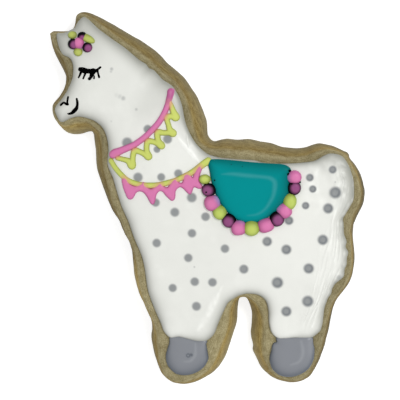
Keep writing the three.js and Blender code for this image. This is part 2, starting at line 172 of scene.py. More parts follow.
def value_noise(u: Array, v: Array, seed: int, wrap: int = 256) -> Array:
    """Noise from -1 to 1: seeded random heights on a unit lattice, blended by eased shares.

    Args:
        u: First coordinate, in lattice cells.
        v: Second coordinate, in lattice cells.
        seed: Seed of the lattice.
        wrap: Cells after which the first coordinate repeats.

    Returns:
        The noise, shaped like u and v broadcast together.
    """
    lattice = np.random.default_rng(seed).uniform(-1, 1, (wrap, 256))
    column, row = np.floor(u).astype(int), np.floor(v).astype(int)
    across, up = smoothstep(u - column, 0, 1), smoothstep(v - row, 0, 1)
    corner = [[lattice[(column + i) % wrap, (row + j) % 256] for j in (0, 1)] for i in (0, 1)]
    low = corner[0][0] * (1 - across) + corner[1][0] * across
    high = corner[0][1] * (1 - across) + corner[1][1] * across
    return low * (1 - up) + high * up


def blurred(grid: Array, cells: float) -> Array:
    """A raster averaged with the weight exp(-(distance / cells) squared / 2), axis by axis.

    Args:
        grid: The raster.
        cells: Width of the weight, in cells.

    Returns:
        The softened raster.
    """
    reach = int(3 * cells) + 1
    bell = np.exp(-0.5 * (np.arange(-reach, reach + 1) / cells) ** 2)
    for axis in (0, 1):
        grid = np.apply_along_axis(np.convolve, axis, grid, bell / bell.sum(), mode="same")
    return grid


def filled(loop: Array, inner: Array) -> Array:
    """Triangles that fill a counter-clockwise loop and pass through points inside it.

    Args:
        loop: Corners of the loop.
        inner: Points inside it.

    Returns:
        Triangles that face up, as indices into the loop followed by the inner points.
    """
    spots = [Vector(p) for p in np.concatenate([loop, inner]).tolist()]
    _, _, faces, source, _, _ = delaunay_2d_cdt(spots, [], [list(range(len(loop)))], 1, 1e-7)
    index = np.array([s[0] for s in source])
    return index[np.array([list(face) for face in faces])]


def bands(rows: int, columns: int, start: int = 0) -> Array:
    """Quads between neighbouring closed rows of points, from the lowest row up.

    Args:
        rows: How many rows there are.
        columns: How many points a row has.
        start: Index of the first point.

    Returns:
        The quads, which face out when the rows run counter-clockwise.
    """
    i, j = np.meshgrid(np.arange(rows - 1), np.arange(columns), indexing="ij")
    a, b = start + i * columns + j, start + i * columns + (j + 1) % columns
    return np.stack([a, b, b + columns, a + columns], -1).reshape(-1, 4)


# ------------------------------------------------------------------ meshes and materials


def linear(hex_colour: str) -> tuple[float, float, float, float]:
    """Turns an sRGB colour to linear by the standard's own curve.

    Args:
        hex_colour: The colour, such as "#rrggbb".

    Returns:
        Linear red, green and blue, and an alpha of one.
    """
    srgb = np.array([int(hex_colour[i : i + 2], 16) for i in (1, 3, 5)]) / 255
    value = np.where(srgb <= 0.04045, srgb / 12.92, ((srgb + 0.055) / 1.055) ** 2.4)
    return (*value.tolist(), 1.0)


def add_node(tree: Any, kind: str, settings: dict | None = None, links: dict | None = None) -> Any:
    """Adds a shader node with its settings and links.

    Args:
        tree: The material's node tree.
        kind: Type of the node.
        settings: Attribute names, or input names or numbers, and their values.
        links: Input names or numbers, and the output each takes its value from.

    Returns:
        The new node.
    """
    node = tree.nodes.new(kind)
    for key, value in (settings or {}).items():
        if isinstance(key, str) and hasattr(node, key):
            setattr(node, key, value)
        else:
            node.inputs[key].default_value = value
    for key, output in (links or {}).items():
        tree.links.new(output, node.inputs[key])
    return node


def new_material(name: str) -> tuple[Material, Any, Any]:
    """Makes a material that holds only a Principled shader and its output.

    Args:
        name: The finish, in a maker's words.

    Returns:
        The material, its node tree and the shader.
    """
    material = bpy.data.materials.new(name)
    material.use_nodes = True
    tree = material.node_tree
    tree.nodes.clear()
    shader = add_node(tree, "ShaderNodeBsdfPrincipled")
    add_node(tree, "ShaderNodeOutputMaterial", links={"Surface": shader.outputs["BSDF"]})
    return material, tree, shader


@dataclass
class Shape:
    """A mesh in millimetres: points, faces, and numbers kept at each point for its material."""

    points: Array
    faces: list[list[int]]
    marks: dict[str, Array] = field(default_factory=dict)

    def joined(self, other: "Shape") -> "Shape":
        """Both shapes as one; marks that only one has are zero on the other.

        Args:
            other: The shape to add.

        Returns:
            The joined shape.
        """
        shift = len(self.points)
        faces = self.faces + [[i + shift for i in face] for face in other.faces]
        names = self.marks.keys() | other.marks.keys()
        blank = (np.zeros(len(self.points)), np.zeros(len(other.points)))
        marks = {
            n: np.concatenate([self.marks.get(n, blank[0]), other.marks.get(n, blank[1])])
            for n in names
        }
        return Shape(np.concatenate([self.points, other.points]), faces, marks)


def add_piece(
    name: str,
    shape: Shape,
    material: Material,
    replaces: str | None = None,
) -> None:
    """Writes a shape as a mesh object that rides on the cookie.

    Args:
        name: Name of the piece.
        shape: Its points and faces, in millimetres.
        material: Its finish.
        replaces: CAD node that it stands for.
    """
    mesh = bpy.data.meshes.new(name)
    mesh.from_pydata((shape.points * MM).tolist(), [], shape.faces)
    mesh.polygons.foreach_set("use_smooth", np.ones(len(mesh.polygons), bool))
    mesh.set_sharp_from_angle(angle=CREASE)
    for mark, values in shape.marks.items():
        layer = mesh.attributes.new(mark, "FLOAT", "POINT")
        layer.data.foreach_set("value", values.astype(np.float32))
    mesh.materials.append(material)
    piece = bpy.data.objects.new(name, mesh)
    bpy.context.scene.collection.objects.link(piece)
    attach(piece, "root")
    if replaces:
        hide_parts(replaces)
    LOG.info("%s: %d points, %d faces", name, len(shape.points), len(shape.faces))


# ------------------------------------------------------------------ finishes


class Tint(Enum):
    """Colours of the royal icing: its body, and the darker colour at its rim, which is mostly painted shade
    where the rim slopes away and partly what shows through the thin edge.
    """

    WHITE = ("#f9faf4", "#96978e")
    TEAL = ("#069093", "#076867")
    GREY = ("#888b91", "#4f5761")
    PINK = ("#dd7eb1", "#ad5588")
    LIME = ("#d0da70", "#8d9440")
    PURPLE = ("#955281", "#030208")


@dataclass(frozen=True)
class RoyalIcing:
    """Royal icing: whipped egg white and sugar that has set hard.

    It dries to an even, slightly chalky satin. Its rim is darker, mostly as painted shade where it
    slopes away and partly as the dough or the colour under it showing through the thin edge. The
    surface keeps pores too small to count.
    """

    tint: Tint
    roughness: float = 0.45
    gloss: float = 0.35  # specular level; sugar crystals break up most of the shine
    edge: float = 1.0  # strength of the rim's darker colour, mostly painted shade
    bled: str = "#7f8386"  # colour that ran in from a neighbour; on ridges, a paler painted highlight
    pore: float = 0.35  # width of a pore, mm
    cloud: float = 6.0  # width of the faint clouds in the colour, mm

    def material(self) -> Material:
        """The icing's node material.

        The `edge` mark of a piece runs from 0 inside to 1 at its rim and mixes in the rim's darker
        colour, mostly painted shade. `bleed` is the share of the neighbour's colour, and on ridges the
        share of a paler painted highlight.

        Returns:
            The material.
        """
        body, rim = (linear(colour) for colour in self.tint.value)
        material, tree, shader = new_material(f"royal_icing_{self.tint.name.lower()}")
        place = add_node(tree, "ShaderNodeTexCoord").outputs["Object"]
        cloud = add_node(tree, "ShaderNodeTexNoise", {"Scale": 1 / (self.cloud * MM)}, {"Vector": place})
        shade = add_node(
            tree, "ShaderNodeMapRange", {"To Min": 0.97, "To Max": 1.03}, {"Value": cloud.outputs["Fac"]}
        )
        # painted shade: the `edge` mark mixes in the rim's darker colour
        mark = add_node(tree, "ShaderNodeAttribute", {"attribute_name": "edge"})
        share = add_node(
            tree, "ShaderNodeMath", {"operation": "MULTIPLY", 1: self.edge}, {0: mark.outputs["Fac"]}
        )
        plain = add_node(
            tree, "ShaderNodeMix", {"data_type": "RGBA", 6: body, 7: rim}, {0: share.outputs[0]}
        )
        # the colour that ran in, which on ridges is a painted highlight
        bleed = add_node(tree, "ShaderNodeAttribute", {"attribute_name": "bleed"})
        mixed = add_node(
            tree,
            "ShaderNodeMix",
            {"data_type": "RGBA", 7: linear(self.bled)},
            {0: bleed.outputs["Fac"], 6: plain.outputs[2]},
        )
        tone = add_node(
            tree, "ShaderNodeVectorMath", {"operation": "SCALE"}, {0: mixed.outputs[2], 3: shade.outputs[0]}
        )
        pores = add_node(
            tree, "ShaderNodeTexNoise", {"Scale": 1 / (self.pore * MM), "Detail": 3.0}, {"Vector": place}
        )
        bump = add_node(
            tree, "ShaderNodeBump", {"Strength": 0.1, "Distance": 0.05 * MM}, {"Height": pores.outputs["Fac"]}
        )
        tree.links.new(tone.outputs[0], shader.inputs["Base Color"])
        tree.links.new(bump.outputs["Normal"], shader.inputs["Normal"])
        shader.inputs["Roughness"].default_value = self.roughness
        shader.inputs["Specular IOR Level"].default_value = self.gloss
        return material


@dataclass(frozen=True)
class FoodInk:
    """Black food pen: edible ink drawn on set icing. It is flat, deep black and barely shiny."""

    black: str = "#000000"
    thin: str = "#0c0a0b"
    skip: float = 0.5  # length of a stretch where the pen skipped, mm

    def material(self) -> Material:
        """The ink's node material, thinner and greyer where the pen skipped.

        Returns:
            The material.
        """
        material, tree, shader = new_material("food_pen_ink")
        place = add_node(tree, "ShaderNodeTexCoord").outputs["Object"]
        skips = add_node(tree, "ShaderNodeTexNoise", {"Scale": 1 / (self.skip * MM)}, {"Vector": place})
        ink = add_node(tree, "ShaderNodeValToRGB", links={"Fac": skips.outputs["Fac"]})
        ink.color_ramp.elements[0].color = linear(self.thin)
        ink.color_ramp.elements[1].color = linear(self.black)
        ink.color_ramp.elements[1].position = 0.45
        tree.links.new(ink.outputs["Color"], shader.inputs["Base Color"])
        shader.inputs["Roughness"].default_value = 0.6
        shader.inputs["Specular IOR Level"].default_value = 0.02
        return material


@dataclass(frozen=True)
class BakedDough:
    """Butter-and-flour dough dried in the oven: khaki brown, matt, with a fine floury grain.

    The `wall` mark is 1 on the side and 0 on the top. The cutter drew faint lines along the edge,
    which `along` and `rise` follow in millimetres; they show most on the side.
    `browning_and_shade` scales the colour where it browned more or less and where light and shade
    are painted in.
    """

    top: str = "#bfb48d"
    top_dark: str = "#91855d"
    # the side's tones are darker than the top's: partly painted shade on the wall, partly dough that browned
    # more
    wall: str = "#ab985e"
    wall_dark: str = "#816b38"
    toast: str = "#93794b"
    foot: str = "#8b8975"  # paler and greyer towards the foot of the wall: painted light thrown up from the white board
    grain: float = 0.32  # width of a crumb of flour, mm
    mottle: float = 1.5  # width of the browner blotches, mm
    toasted: float = 9.0  # width of the slow toasted patches, mm
    drawn: tuple[float, float, float] = (0.3, 1.3, 1.0)  # lines to the mm along the edge and up it

    def material(self) -> Material:
        """The dough's node material.

        Grain, blotches and drawn lines are summed. The sum mixes the pale and the dark tone of the
        top, and with the lines counted twice those of the side. A toasted tone comes in by slow
        patches and a greyer one towards the foot as painted light from the white board, and
        `browning_and_shade` scales the result.

        Returns:
            The material.
        """
        material, tree, shader = new_material("baked_sugar_cookie_dough")
        place = add_node(tree, "ShaderNodeTexCoord").outputs["Object"]
        wall, along, rise, browning_and_shade = (
            add_node(tree, "ShaderNodeAttribute", {"attribute_name": name}).outputs["Fac"]
            for name in ("wall", "along", "rise", "browning_and_shade")
        )
        flow = add_node(tree, "ShaderNodeCombineXYZ", {}, {0: along, 1: rise})
        drawn = add_node(
            tree, "ShaderNodeVectorMath", {"operation": "MULTIPLY", 1: self.drawn}, {0: flow.outputs[0]}
        )
        crisp = {"Detail": 4.0, "Roughness": 0.65}
        lines, blotch, grain, patch = (
            add_node(tree, "ShaderNodeTexNoise", settings, {"Vector": vector}).outputs["Fac"]
            for settings, vector in (
                ({"Scale": 1.0, **crisp}, drawn.outputs[0]),
                ({"Scale": 1 / (self.mottle * MM), **crisp}, place),
                ({"Scale": 1 / (self.grain * MM), **crisp}, place),
                ({"Scale": 1 / (self.toasted * MM)}, place),
            )
        )
        mixed = add_node(
            tree, "ShaderNodeMath", {"operation": "MULTIPLY_ADD", 1: 1.6}, {0: grain, 2: blotch}
        )
        once = add_node(tree, "ShaderNodeMath", {"operation": "ADD"}, {0: mixed.outputs[0], 1: lines})
        twice = add_node(tree, "ShaderNodeMath", {"operation": "ADD"}, {0: once.outputs[0], 1: lines})
        # each range runs over the values that the sum, the patches or the height take
        crumb, streak, browned, low = (
            add_node(tree, "ShaderNodeMapRange", limits, {"Value": value}).outputs[0]
            for limits, value in (
                ({"From Min": 1.51, "From Max": 2.13}, once.outputs[0]),
                ({"From Min": 1.96, "From Max": 2.68}, twice.outputs[0]),
                ({"From Min": 0.5, "From Max": 0.7, "To Max": 0.25}, patch),
                ({"From Min": 1.0, "From Max": 8.0, "To Min": 0.65, "To Max": 0.0}, rise),
            )
        )
        crust, side = (
            add_node(
                tree, "ShaderNodeMix", {"data_type": "RGBA", 6: linear(dark), 7: linear(pale)}, {0: share}
            ).outputs[2]
            for dark, pale, share in (
                (self.top_dark, self.top, crumb),
                (self.wall_dark, self.wall, streak),
            )
        )
        # toasted patches, then painted light: the greyer foot tone stands for light thrown up from the board
        for tone, share in ((self.toast, browned), (self.foot, low)):
            side = add_node(
                tree, "ShaderNodeMix", {"data_type": "RGBA", 7: linear(tone)}, {0: share, 6: side}
            ).outputs[2]
        colour = add_node(tree, "ShaderNodeMix", {"data_type": "RGBA"}, {0: wall, 6: crust, 7: side})
        # real browning and painted light and shade, by place
        scaled = add_node(
            tree, "ShaderNodeVectorMath", {"operation": "SCALE"}, {0: colour.outputs[2], 3: browning_and_shade}
        )
        rough = add_node(tree, "ShaderNodeMath", {"operation": "ADD"}, {0: grain, 1: lines})
        bump = add_node(
            tree, "ShaderNodeBump", {"Strength": 0.9, "Distance": 0.3 * MM}, {"Height": rough.outputs[0]}
        )
        tree.links.new(scaled.outputs[0], shader.inputs["Base Color"])
        tree.links.new(bump.outputs["Normal"], shader.inputs["Normal"])
        shader.inputs["Roughness"].default_value = 0.85
        shader.inputs["Specular IOR Level"].default_value = 0.15
        return material


@dataclass(frozen=True)
class PlainFloor:
    """Matt white board, even and clean."""

    colour: str = "#c4c4c4"
    fibre: str = "#bfbfbf"
    width: float = 2.5  # width of a fibre's cloud, mm
    glow: float = 0.72  # light of its own, so that it stays white

    def material(self) -> Material:
        """The board's node material.

        Returns:
            The material.
        """
        material, tree, shader = new_material("matt_white_board")
        place = add_node(tree, "ShaderNodeTexCoord").outputs["Object"]
        cloud = add_node(tree, "ShaderNodeTexNoise", {"Scale": 1 / (self.width * MM)}, {"Vector": place})
        ramp = add_node(tree, "ShaderNodeValToRGB", links={"Fac": cloud.outputs["Fac"]})
        ramp.color_ramp.elements[0].color = linear(self.fibre)
        ramp.color_ramp.elements[1].color = linear(self.colour)
        tree.links.new(ramp.outputs["Color"], shader.inputs["Base Color"])
        shader.inputs["Roughness"].default_value = 0.9
        shader.inputs["Emission Color"].default_value = (1, 1, 1, 1)
        shader.inputs["Emission Strength"].default_value = self.glow
        return material


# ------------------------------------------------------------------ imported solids


LEVEL_GAP = 0.004  # mm; corners this close to a height lie on it


class CadSolid:
    """Merged corners, in millimetres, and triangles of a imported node."""

    def __init__(self, node: str) -> None:
        """Reads the node's mesh, which is left as it is.

        Args:
            node: Name of the node.
        """
        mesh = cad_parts[node].data
        mesh.calc_loop_triangles()
        corners = np.empty(len(mesh.vertices) * 3, np.float32)
        mesh.vertices.foreach_get("co", corners)
        triangles = np.empty(len(mesh.loop_triangles) * 3, np.int32)
        mesh.loop_triangles.foreach_get("vertices", triangles)
        rounded = np.round(corners.reshape(-1, 3).astype(float) / MM, 3)
        self.points, index = np.unique(rounded, axis=0, return_inverse=True)
        self.triangles = index.ravel()[triangles].reshape(-1, 3)

    def ring(self, level: float, side: int) -> Array:
        """Corners round the solid at one height, counter-clockwise.

        Each triangle of the band next to that height that has an edge on it gives that edge, and
        the edges are walked in order.

        Args:
            level: The height.
            side: 1 to read the band above that height, -1 the one below.

        Returns:
            The corners in order.
        """
        height = self.points[self.triangles, 2] - level
        on = np.abs(height) < LEVEL_GAP
        rows = (on.sum(1) == 2) & (np.where(on, 0, height).sum(1) * side > 0)
        chosen, flags = self.triangles[rows], on[rows]
        off, each = np.argmin(flags, axis=1), np.arange(len(chosen))
        ends = chosen[each, (off + 1) % 3], chosen[each, (off + 2) % 3]
        follow = dict(zip(*(e.tolist() for e in (ends if side > 0 else ends[::-1]))))
        walk = [next(iter(follow))]
        while follow[walk[-1]] != walk[0]:
            walk.append(follow[walk[-1]])
        return self.points[walk]


# ------------------------------------------------------------------ biscuit


# How dark the dough is at places, partly real browning and partly painted light and shade: a
# place, then the shares of full colour on the top and on the wall, and the part of the wall's
# that is left at its foot, which is painted shade.
BROWNING_AND_SHADE = (
    (-44, 48, 0.9, 0.75, 1.0), (-33, 57, 0.7, 0.7, 0.95), (-46, 34, 0.55, 0.55, 1.0),
    (-18, 50, 0.75, 0.7, 1.0), (-10, 38, 0.7, 0.7, 1.0), (-2, 22, 0.65, 0.9, 1.0),
    (12, 16, 0.9, 0.8, 1.1), (30, 14, 0.75, 0.65, 1.1), (37, 14, 0.8, 1.3, 0.35),
    (46, 0, 0.8, 0.6, 0.6), (43, -15, 0.75, 1.05, 0.5), (40, -28, 0.75, 0.8, 0.3),
    (37, -44, 0.7, 0.55, 0.85), (24, -56, 0.85, 0.8, 1.0), (16, -42, 1.0, 1.5, 1.1),
    (8, -40, 1.0, 1.35, 0.75), (-5, -54, 0.9, 1.05, 0.85), (-17, -42, 0.9, 0.95, 0.75),
    (-19, -28, 1.05, 1.4, 0.95), (-24, -8, 0.85, 0.65, 0.6), (-28, 6, 0.95, 0.7, 1.0),
    (-31, 21, 0.65, 0.7, 0.95), (-39, 21, 1.1, 1.55, 0.95),
)  # fmt: skip


@dataclass(frozen=True)
class Unevenness:
    """One kind of noise in the wall: its depth, its length along the edge and its height, in mm."""

    depth: float
    length: float
    height: float
    seed: int

    def noise(self, along: Array, rise: Array, edge: float) -> Array:
        """Value noise on stretched cells, a whole number of which go round the edge.

        Args:
            along: Distances along the edge.
            rise: Heights.
            edge: Length of the whole edge.

        Returns:
            The noise, from -1 to 1.
        """
        count = round(edge / self.length)
        return value_noise(along * count / edge, rise / self.height, self.seed, count)


@dataclass
class Biscuit:
    """Thick cut-out of dough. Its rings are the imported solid's, drawn finer and roughened."""

    levels: tuple[float, ...] = (0.0, 1.5, 4.5, 7.5, 9.3, 10.0)
    along_parts: int = 6
    up_parts: int = 5
    lump: Unevenness = Unevenness(0.22, 7.0, 6.0, 3)  # slow waves of a hand-cut wall
    drag: Unevenness = Unevenness(0.18, 2.2, 0.7, 5)  # lines that the cutter dragged
    crumb: Unevenness = Unevenness(0.16, 1.1, 1.3, 6)  # crumbs that broke off
    cap_cell: float = 1.3
    cap_gap: float = 0.5  # least distance from the top's inner points to its edge
    dimple: float = 0.12  # depth of the dimples in the top, mm
    dimple_width: float = 1.4
    blend: float = 9.0  # reach of a spot of browning and painted shade, mm
    finish: BakedDough = BakedDough()

    def wall(self) -> tuple[Array, Array, Array]:
        """Rings of the wall.

        A smooth curve runs through the solid's rings, round the loop and up the wall. Each point
        is then pushed in by the three kinds of noise, and crowded points at tight corners are
        eased towards the middle of their neighbours.

        Returns:
            Points as rows, columns and axes, then distance along the edge and height for each.
        """
        solid = CadSolid("biscuit")
        top, widest = self.levels[-1], self.up_parts
        rings = [solid.ring(z, 1 if z < top else -1) for z in self.levels]
        for k in range(1, len(rings)):
            turns = range(len(rings[k]))
            gaps = [np.sum((np.roll(rings[k], s, 0) - rings[k - 1])[:, :2] ** 2) for s in turns]
            rings[k] = np.roll(rings[k], int(np.argmin(gaps)), 0)
        grid = refine(np.stack(rings, 1), self.along_parts).swapaxes(0, 1)
        grid = refine(grid, self.up_parts, closed=False)
        steps = np.linalg.norm(np.roll(grid[widest], -1, 0) - grid[widest], axis=1)
        edge = steps.sum()
        along = np.broadcast_to(np.concatenate([[0], np.cumsum(steps)[:-1]]), grid.shape[:2])
        rise = grid[..., 2]
        push = np.zeros(rise.shape)
        for kind in (self.lump, self.drag):
            push = push + kind.depth * (0.5 + 0.5 * kind.noise(along, rise, edge))
        push = push + self.crumb.depth * smoothstep(self.crumb.noise(along, rise, edge), 0.1, 0.9)
        grid[..., :2] += inward(grid[widest, :, :2])[None] * push[..., None]
        for _ in range(12):
            ahead, behind = (np.roll(grid[..., :2], k, axis=1) for k in (-1, 1))
            crowd = 1 - smoothstep(np.linalg.norm(ahead - behind, axis=2), 0.4, 1.2)
            grid[..., :2] += 0.5 * crowd[..., None] * ((ahead + behind) / 2 - grid[..., :2])
        return grid, along, rise

    def shape(self) -> Shape:
        """The wall closed by a slightly rough top and a flat underside.

        On the top, `along` is that of the nearest point of the wall and `rise` goes on by 2 mm for
        each millimetre in, so that the drawn lines run on from the wall.

        Returns:
            The shape, with its `wall`, `along`, `rise` and `browning_and_shade` marks.
        """
        grid, along, rise = self.wall()
        rows, columns = grid.shape[:2]
        points, faces = [grid.reshape(-1, 3)], bands(rows, columns).tolist()
        marks = {"wall": [np.ones(rows * columns)], "along": [along.ravel()], "rise": [rise.ravel()]}
        total = rows * columns
        for row, up in ((rows - 1, True), (0, False)):
            loop = grid[row, :, :2]
            spans = (np.arange(low, high, self.cap_cell) for low, high in zip(loop.min(0), loop.max(0)))
            x, y = np.meshgrid(*spans, indexing="ij")
            y = y + (np.arange(len(x))[:, None] % 2) * self.cap_cell / 2
            depth = depth_inside(x, y, loop)
            clear = depth > self.cap_gap
            x, y, depth = x[clear], y[clear], depth[clear]
            bumps = value_noise(x / self.dimple_width, y / self.dimple_width, 9)
            dip = self.dimple * (0.5 + 0.5 * bumps) if up else 0 * x
            inner = np.stack([x, y, grid[row, 0, 2] - dip], 1)
            near = ((inner[:, None, :2] - loop) ** 2).sum(2).argmin(1)
            index = np.concatenate([row * columns + np.arange(columns), total + np.arange(len(inner))])
            cap = index[filled(loop, inner[:, :2])]
            faces += (cap if up else cap[:, ::-1]).tolist()
            points.append(inner)
            climbed = grid[row, 0, 2] + 2 * depth if up else 0 * x
            for name, value in (("wall", 0 * x), ("along", along[row, near]), ("rise", climbed)):
                marks[name].append(value)
            total += len(inner)
        joined = {name: np.concatenate(parts) for name, parts in marks.items()}
        placed = np.concatenate(points)
        joined["wall"] *= 1 - smoothstep(joined["rise"], 8.0, 9.9)
        joined["browning_and_shade"] = self.browning_and_shade(placed[:, 0], placed[:, 1], joined["rise"], joined["wall"])
        return Shape(placed, faces, joined)

    def browning_and_shade(self, x: Array, y: Array, rise: Array, wall: Array) -> Array:
        """Share of full colour: that of the top or wall, with painted shade towards the foot and a thinner
        painted shade along the bottom contour.

        Args:
            x: First coordinates.
            y: Second coordinates.
            rise: Heights.
            wall: The `wall` mark.

        Returns:
            The share at each point.
        """
        top, side, foot = spread(BROWNING_AND_SHADE, x, y, self.blend)
        # painted shade towards the wall's foot, then along its bottom contour
        foot = foot + (1 - foot) * smoothstep(rise, 3.5, 9.0)
        contour_shade = 0.8 + 0.2 * smoothstep(rise, 0.2, 3.0)
        return (top + (side - top) * wall) * foot * contour_shade

    def build(self) -> None:
        """Builds and dresses the biscuit."""
        add_piece("biscuit_dough", self.shape(), self.finish.material(), "biscuit")


# ------------------------------------------------------------------ pools of icing


ROUNDING = 0.45  # mm in from its edge over which an icing's rim is round
UNDERCUT = 0.3  # how far in an icing's underside is, as a share of its rim's height


@dataclass
class Pool:
    """Icing that ran out flat inside an outline and set.

    Its height is a short rounded rim plus a swell that climbs as a quarter ellipse over the
    shoulder, softened by a blur so that no crease is left along its middle. The tip's last pass
    may leave ridges on it, and bubbles that burst leave pits.
    """

    outline: Array
    base: float
    thickness: float
    rim: float  # height of the rounded edge
    shoulder: float  # width of the slope inside the edge
    cell: float  # spacing of the mesh's inner points
    soften: float = 0.6  # width of the blur
    step: float = 0.4  # cell of the swell's raster
    spots: tuple[tuple[float, ...], ...] = ((0.0, 0.0, 1.5, 0.0),)  # place, reach of the rim's painted shade and its share all over
    blend: float = 6.0  # reach of a spot, mm
    ridges: tuple["Stroke", ...] = ()
    crest: float = 0.07  # height of a ridge left by the piping tip
    glow: float = 0.15  # painted highlight: how far a ridge pales the colour
    pits: tuple[tuple[float, float, float], ...] = ()  # burst bubbles, place and width
    pit_depth: float = 0.12
    pit_shade: float = 0.22  # width of the painted shade round a pit

    def __post_init__(self) -> None:
        """Works out the softened swell on a raster over the outline's box."""
        self.corner = self.outline.min(0) - 3
        size = self.outline.max(0) + 3 - self.corner
        sides = (self.corner[k] + np.arange(0, size[k], self.step) for k in (0, 1))
        x, y = np.meshgrid(*sides, indexing="ij")
        short = 1 - np.clip(depth_inside(x, y, self.outline) / self.shoulder_at(x, y), 0, 1)
        self.raster = blurred(np.sqrt(1 - short**2.2), self.soften / self.step)

    def shoulder_at(self, x: Array, y: Array) -> Array:
        """Width of the shoulder at points, the same everywhere on a plain pool."""
        return np.full(x.shape, self.shoulder)

    def relief(self, x: Array, y: Array) -> Array:
        """Ridges where the tip's last pass sank in, less a bell-shaped hollow for each pit.

        Args:
            x: First coordinates.
            y: Second coordinates.

        Returns:
            Heights to add to the pool's.
        """
        height = np.zeros(x.shape)
        for ridge in self.ridges:
            height += self.crest * smoothstep(ridge.depth(x, y), 0, max(row[2] for row in ridge.rows))
        for across, up, width in self.pits:
            away = (x - across) ** 2 + (y - up) ** 2
            height -= self.pit_depth * np.exp(-away / (width / 2) ** 2)
        return height

    def marks(self, x: Array, y: Array, depth: Array) -> dict[str, Array]:
        """Numbers that the finish reads: the share of the rim's painted shade, and that of a paler painted
        highlight on the ridges.

        The rim's painted shade dies away as exp(-(depth / reach) to the power 1.3) down to an even painted
        shade all over, and a ring of painted shade lies round each pit.

        Args:
            x: First coordinates.
            y: Second coordinates.
            depth: Depth inside the outline.

        Returns:
            The marks by name.
        """
        reach, shade_veil = spread(self.spots, x, y, self.blend)
        crest = self.relief(x, y) / self.crest
        # painted shade along the rim, over an even painted shade all over
        edge = shade_veil + (1 - shade_veil) * np.exp(-((depth / reach) ** 1.3))
        # painted shade round each pit
        for across, up, width in self.pits:
            ring = (np.hypot(x - across, y - up) - width / 2) / self.pit_shade
            edge = np.maximum(edge, 0.8 * np.exp(-(ring**2)))
        # painted highlight: the paler colour on the ridges
        return {"edge": edge, "bleed": self.glow * crest}

    def surface(self, x: Array, y: Array) -> Array:
        """Height of the icing's face away from its rim, read between the raster's cells.

        Args:
            x: First coordinates.
            y: Second coordinates.

        Returns:
            Heights, in millimetres.
        """
        u, v = (x - self.corner[0]) / self.step, (y - self.corner[1]) / self.step
        i = np.clip(u.astype(int), 0, self.raster.shape[0] - 2)
        j = np.clip(v.astype(int), 0, self.raster.shape[1] - 2)
        s, t = np.clip(u - i, 0, 1), np.clip(v - j, 0, 1)
        low = self.raster[i, j] * (1 - s) + self.raster[i + 1, j] * s
        high = self.raster[i, j + 1] * (1 - s) + self.raster[i + 1, j + 1] * s
        swell = low * (1 - t) + high * t
        return self.base + self.rim + (self.thickness - self.rim) * swell + self.relief(x, y)

    def height(self, x: Array, y: Array, depth: Array) -> Array:
        """Height with the rim: a quarter circle eases from the rim's foot to the surface.

        Args:
            x: First coordinates.
            y: Second coordinates.
            depth: Depth inside the outline.

        Returns:
            Heights, in millimetres.
        """
        foot = self.base + 0.7 * self.rim
        ease = np.sqrt(1 - (1 - np.clip(depth / ROUNDING, 0, 1)) ** 2)
        return foot + (self.surface(x, y) - foot) * ease

    def extra(self) -> Array:
        """Rows of points along and beside each ridge, and rings of them round each pit.

        Returns:
            Points in plan, where the surface needs more detail.
        """
        sets = [np.zeros((0, 2))]
        for ridge in self.ridges:
            rows = evenly(refine(np.array(ridge.rows), 6, closed=False), 0.35, closed=False)
            run = np.gradient(rows[:, :2], axis=0)
            side = np.stack([-run[:, 1], run[:, 0]], 1) / np.linalg.norm(run, axis=1, keepdims=True)
            lanes = (-1.1, -0.7, -0.35, 0.01, 0.35, 0.7, 1.1)
            sets += [rows[:, :2] + side * rows[:, 2:] * lane for lane in lanes]
        around = np.linspace(0, 2 * np.pi, 14, endpoint=False)
        circle = np.stack([np.cos(around), np.sin(around)], 1)
        for across, up, width in self.pits:
            rings = (0.01, 0.2, 0.35, 0.5, 0.65, 0.85)
            sets += [np.array([across, up]) + circle * width * ring for ring in rings]
        return np.concatenate(sets)

    def shape(self) -> Shape:
        """Closed mesh: Delaunay triangles over nested rings and a staggered grid, and a flat base.

        Returns:
            The shape, with its marks.
        """
        loop, into = self.outline, inward(self.outline)
        # rings of points at these depths, less those that another part of the edge comes close to
        nested = [(loop + into * inset, 0.8 * inset) for inset in (0.06, 0.16, 0.3, 0.5, 0.85)]
        low, high = loop.min(0), loop.max(0)
        x, y = np.meshgrid(
            np.arange(low[0], high[0], self.cell), np.arange(low[1], high[1], self.cell * 0.87), indexing="ij"
        )
        x = x + (np.arange(x.shape[1]) % 2) * self.cell / 2
        inner = [np.stack([x.ravel(), y.ravel()], 1), self.extra()]
        spots = np.concatenate([ring for ring, _ in nested] + inner)
        need = np.concatenate([np.full(len(loop), d) for _, d in nested])
        need = np.concatenate([need, np.full(len(spots) - len(need), 0.95)])
        depth = depth_inside(spots[:, 0], spots[:, 1], loop)
        spots, depth = spots[depth > need], depth[depth > need]
        plan = np.concatenate([loop, spots])
        depth = np.concatenate([np.zeros(len(loop)), depth])
        crown = np.column_stack([plan, self.height(plan[:, 0], plan[:, 1], depth)])
        foot = np.column_stack([loop + into * UNDERCUT * self.rim, np.full(len(loop), self.base)])
        count, start = len(loop), len(crown)
        ring = np.arange(count)
        turn = np.roll(ring, -1)
        wall = np.stack([start + ring, start + turn, turn, ring], 1)
        faces = filled(loop, spots).tolist() + wall.tolist() + [(start + ring[::-1]).tolist()]
        inside = np.concatenate([depth, np.zeros(count)])
        points = np.concatenate([crown, foot])
        return Shape(points, faces, self.marks(points[:, 0], points[:, 1], inside))


def pool_outline(node: str, base: float, rim: float, spacing: float) -> Array:
    """Smooth outline of a packed pool of icing: its underside's ring, let out to its full width.

    Args:
        node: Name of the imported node.
        base: Height of its underside.
        rim: Height of its rim.
        spacing: Step along the outline.

    Returns:
        The outline, counter-clockwise.
    """
    ring = CadSolid(node).ring(base, 1)[:, :2]
    return evenly(refine(ring - inward(ring) * UNDERCUT * rim, 6), spacing)


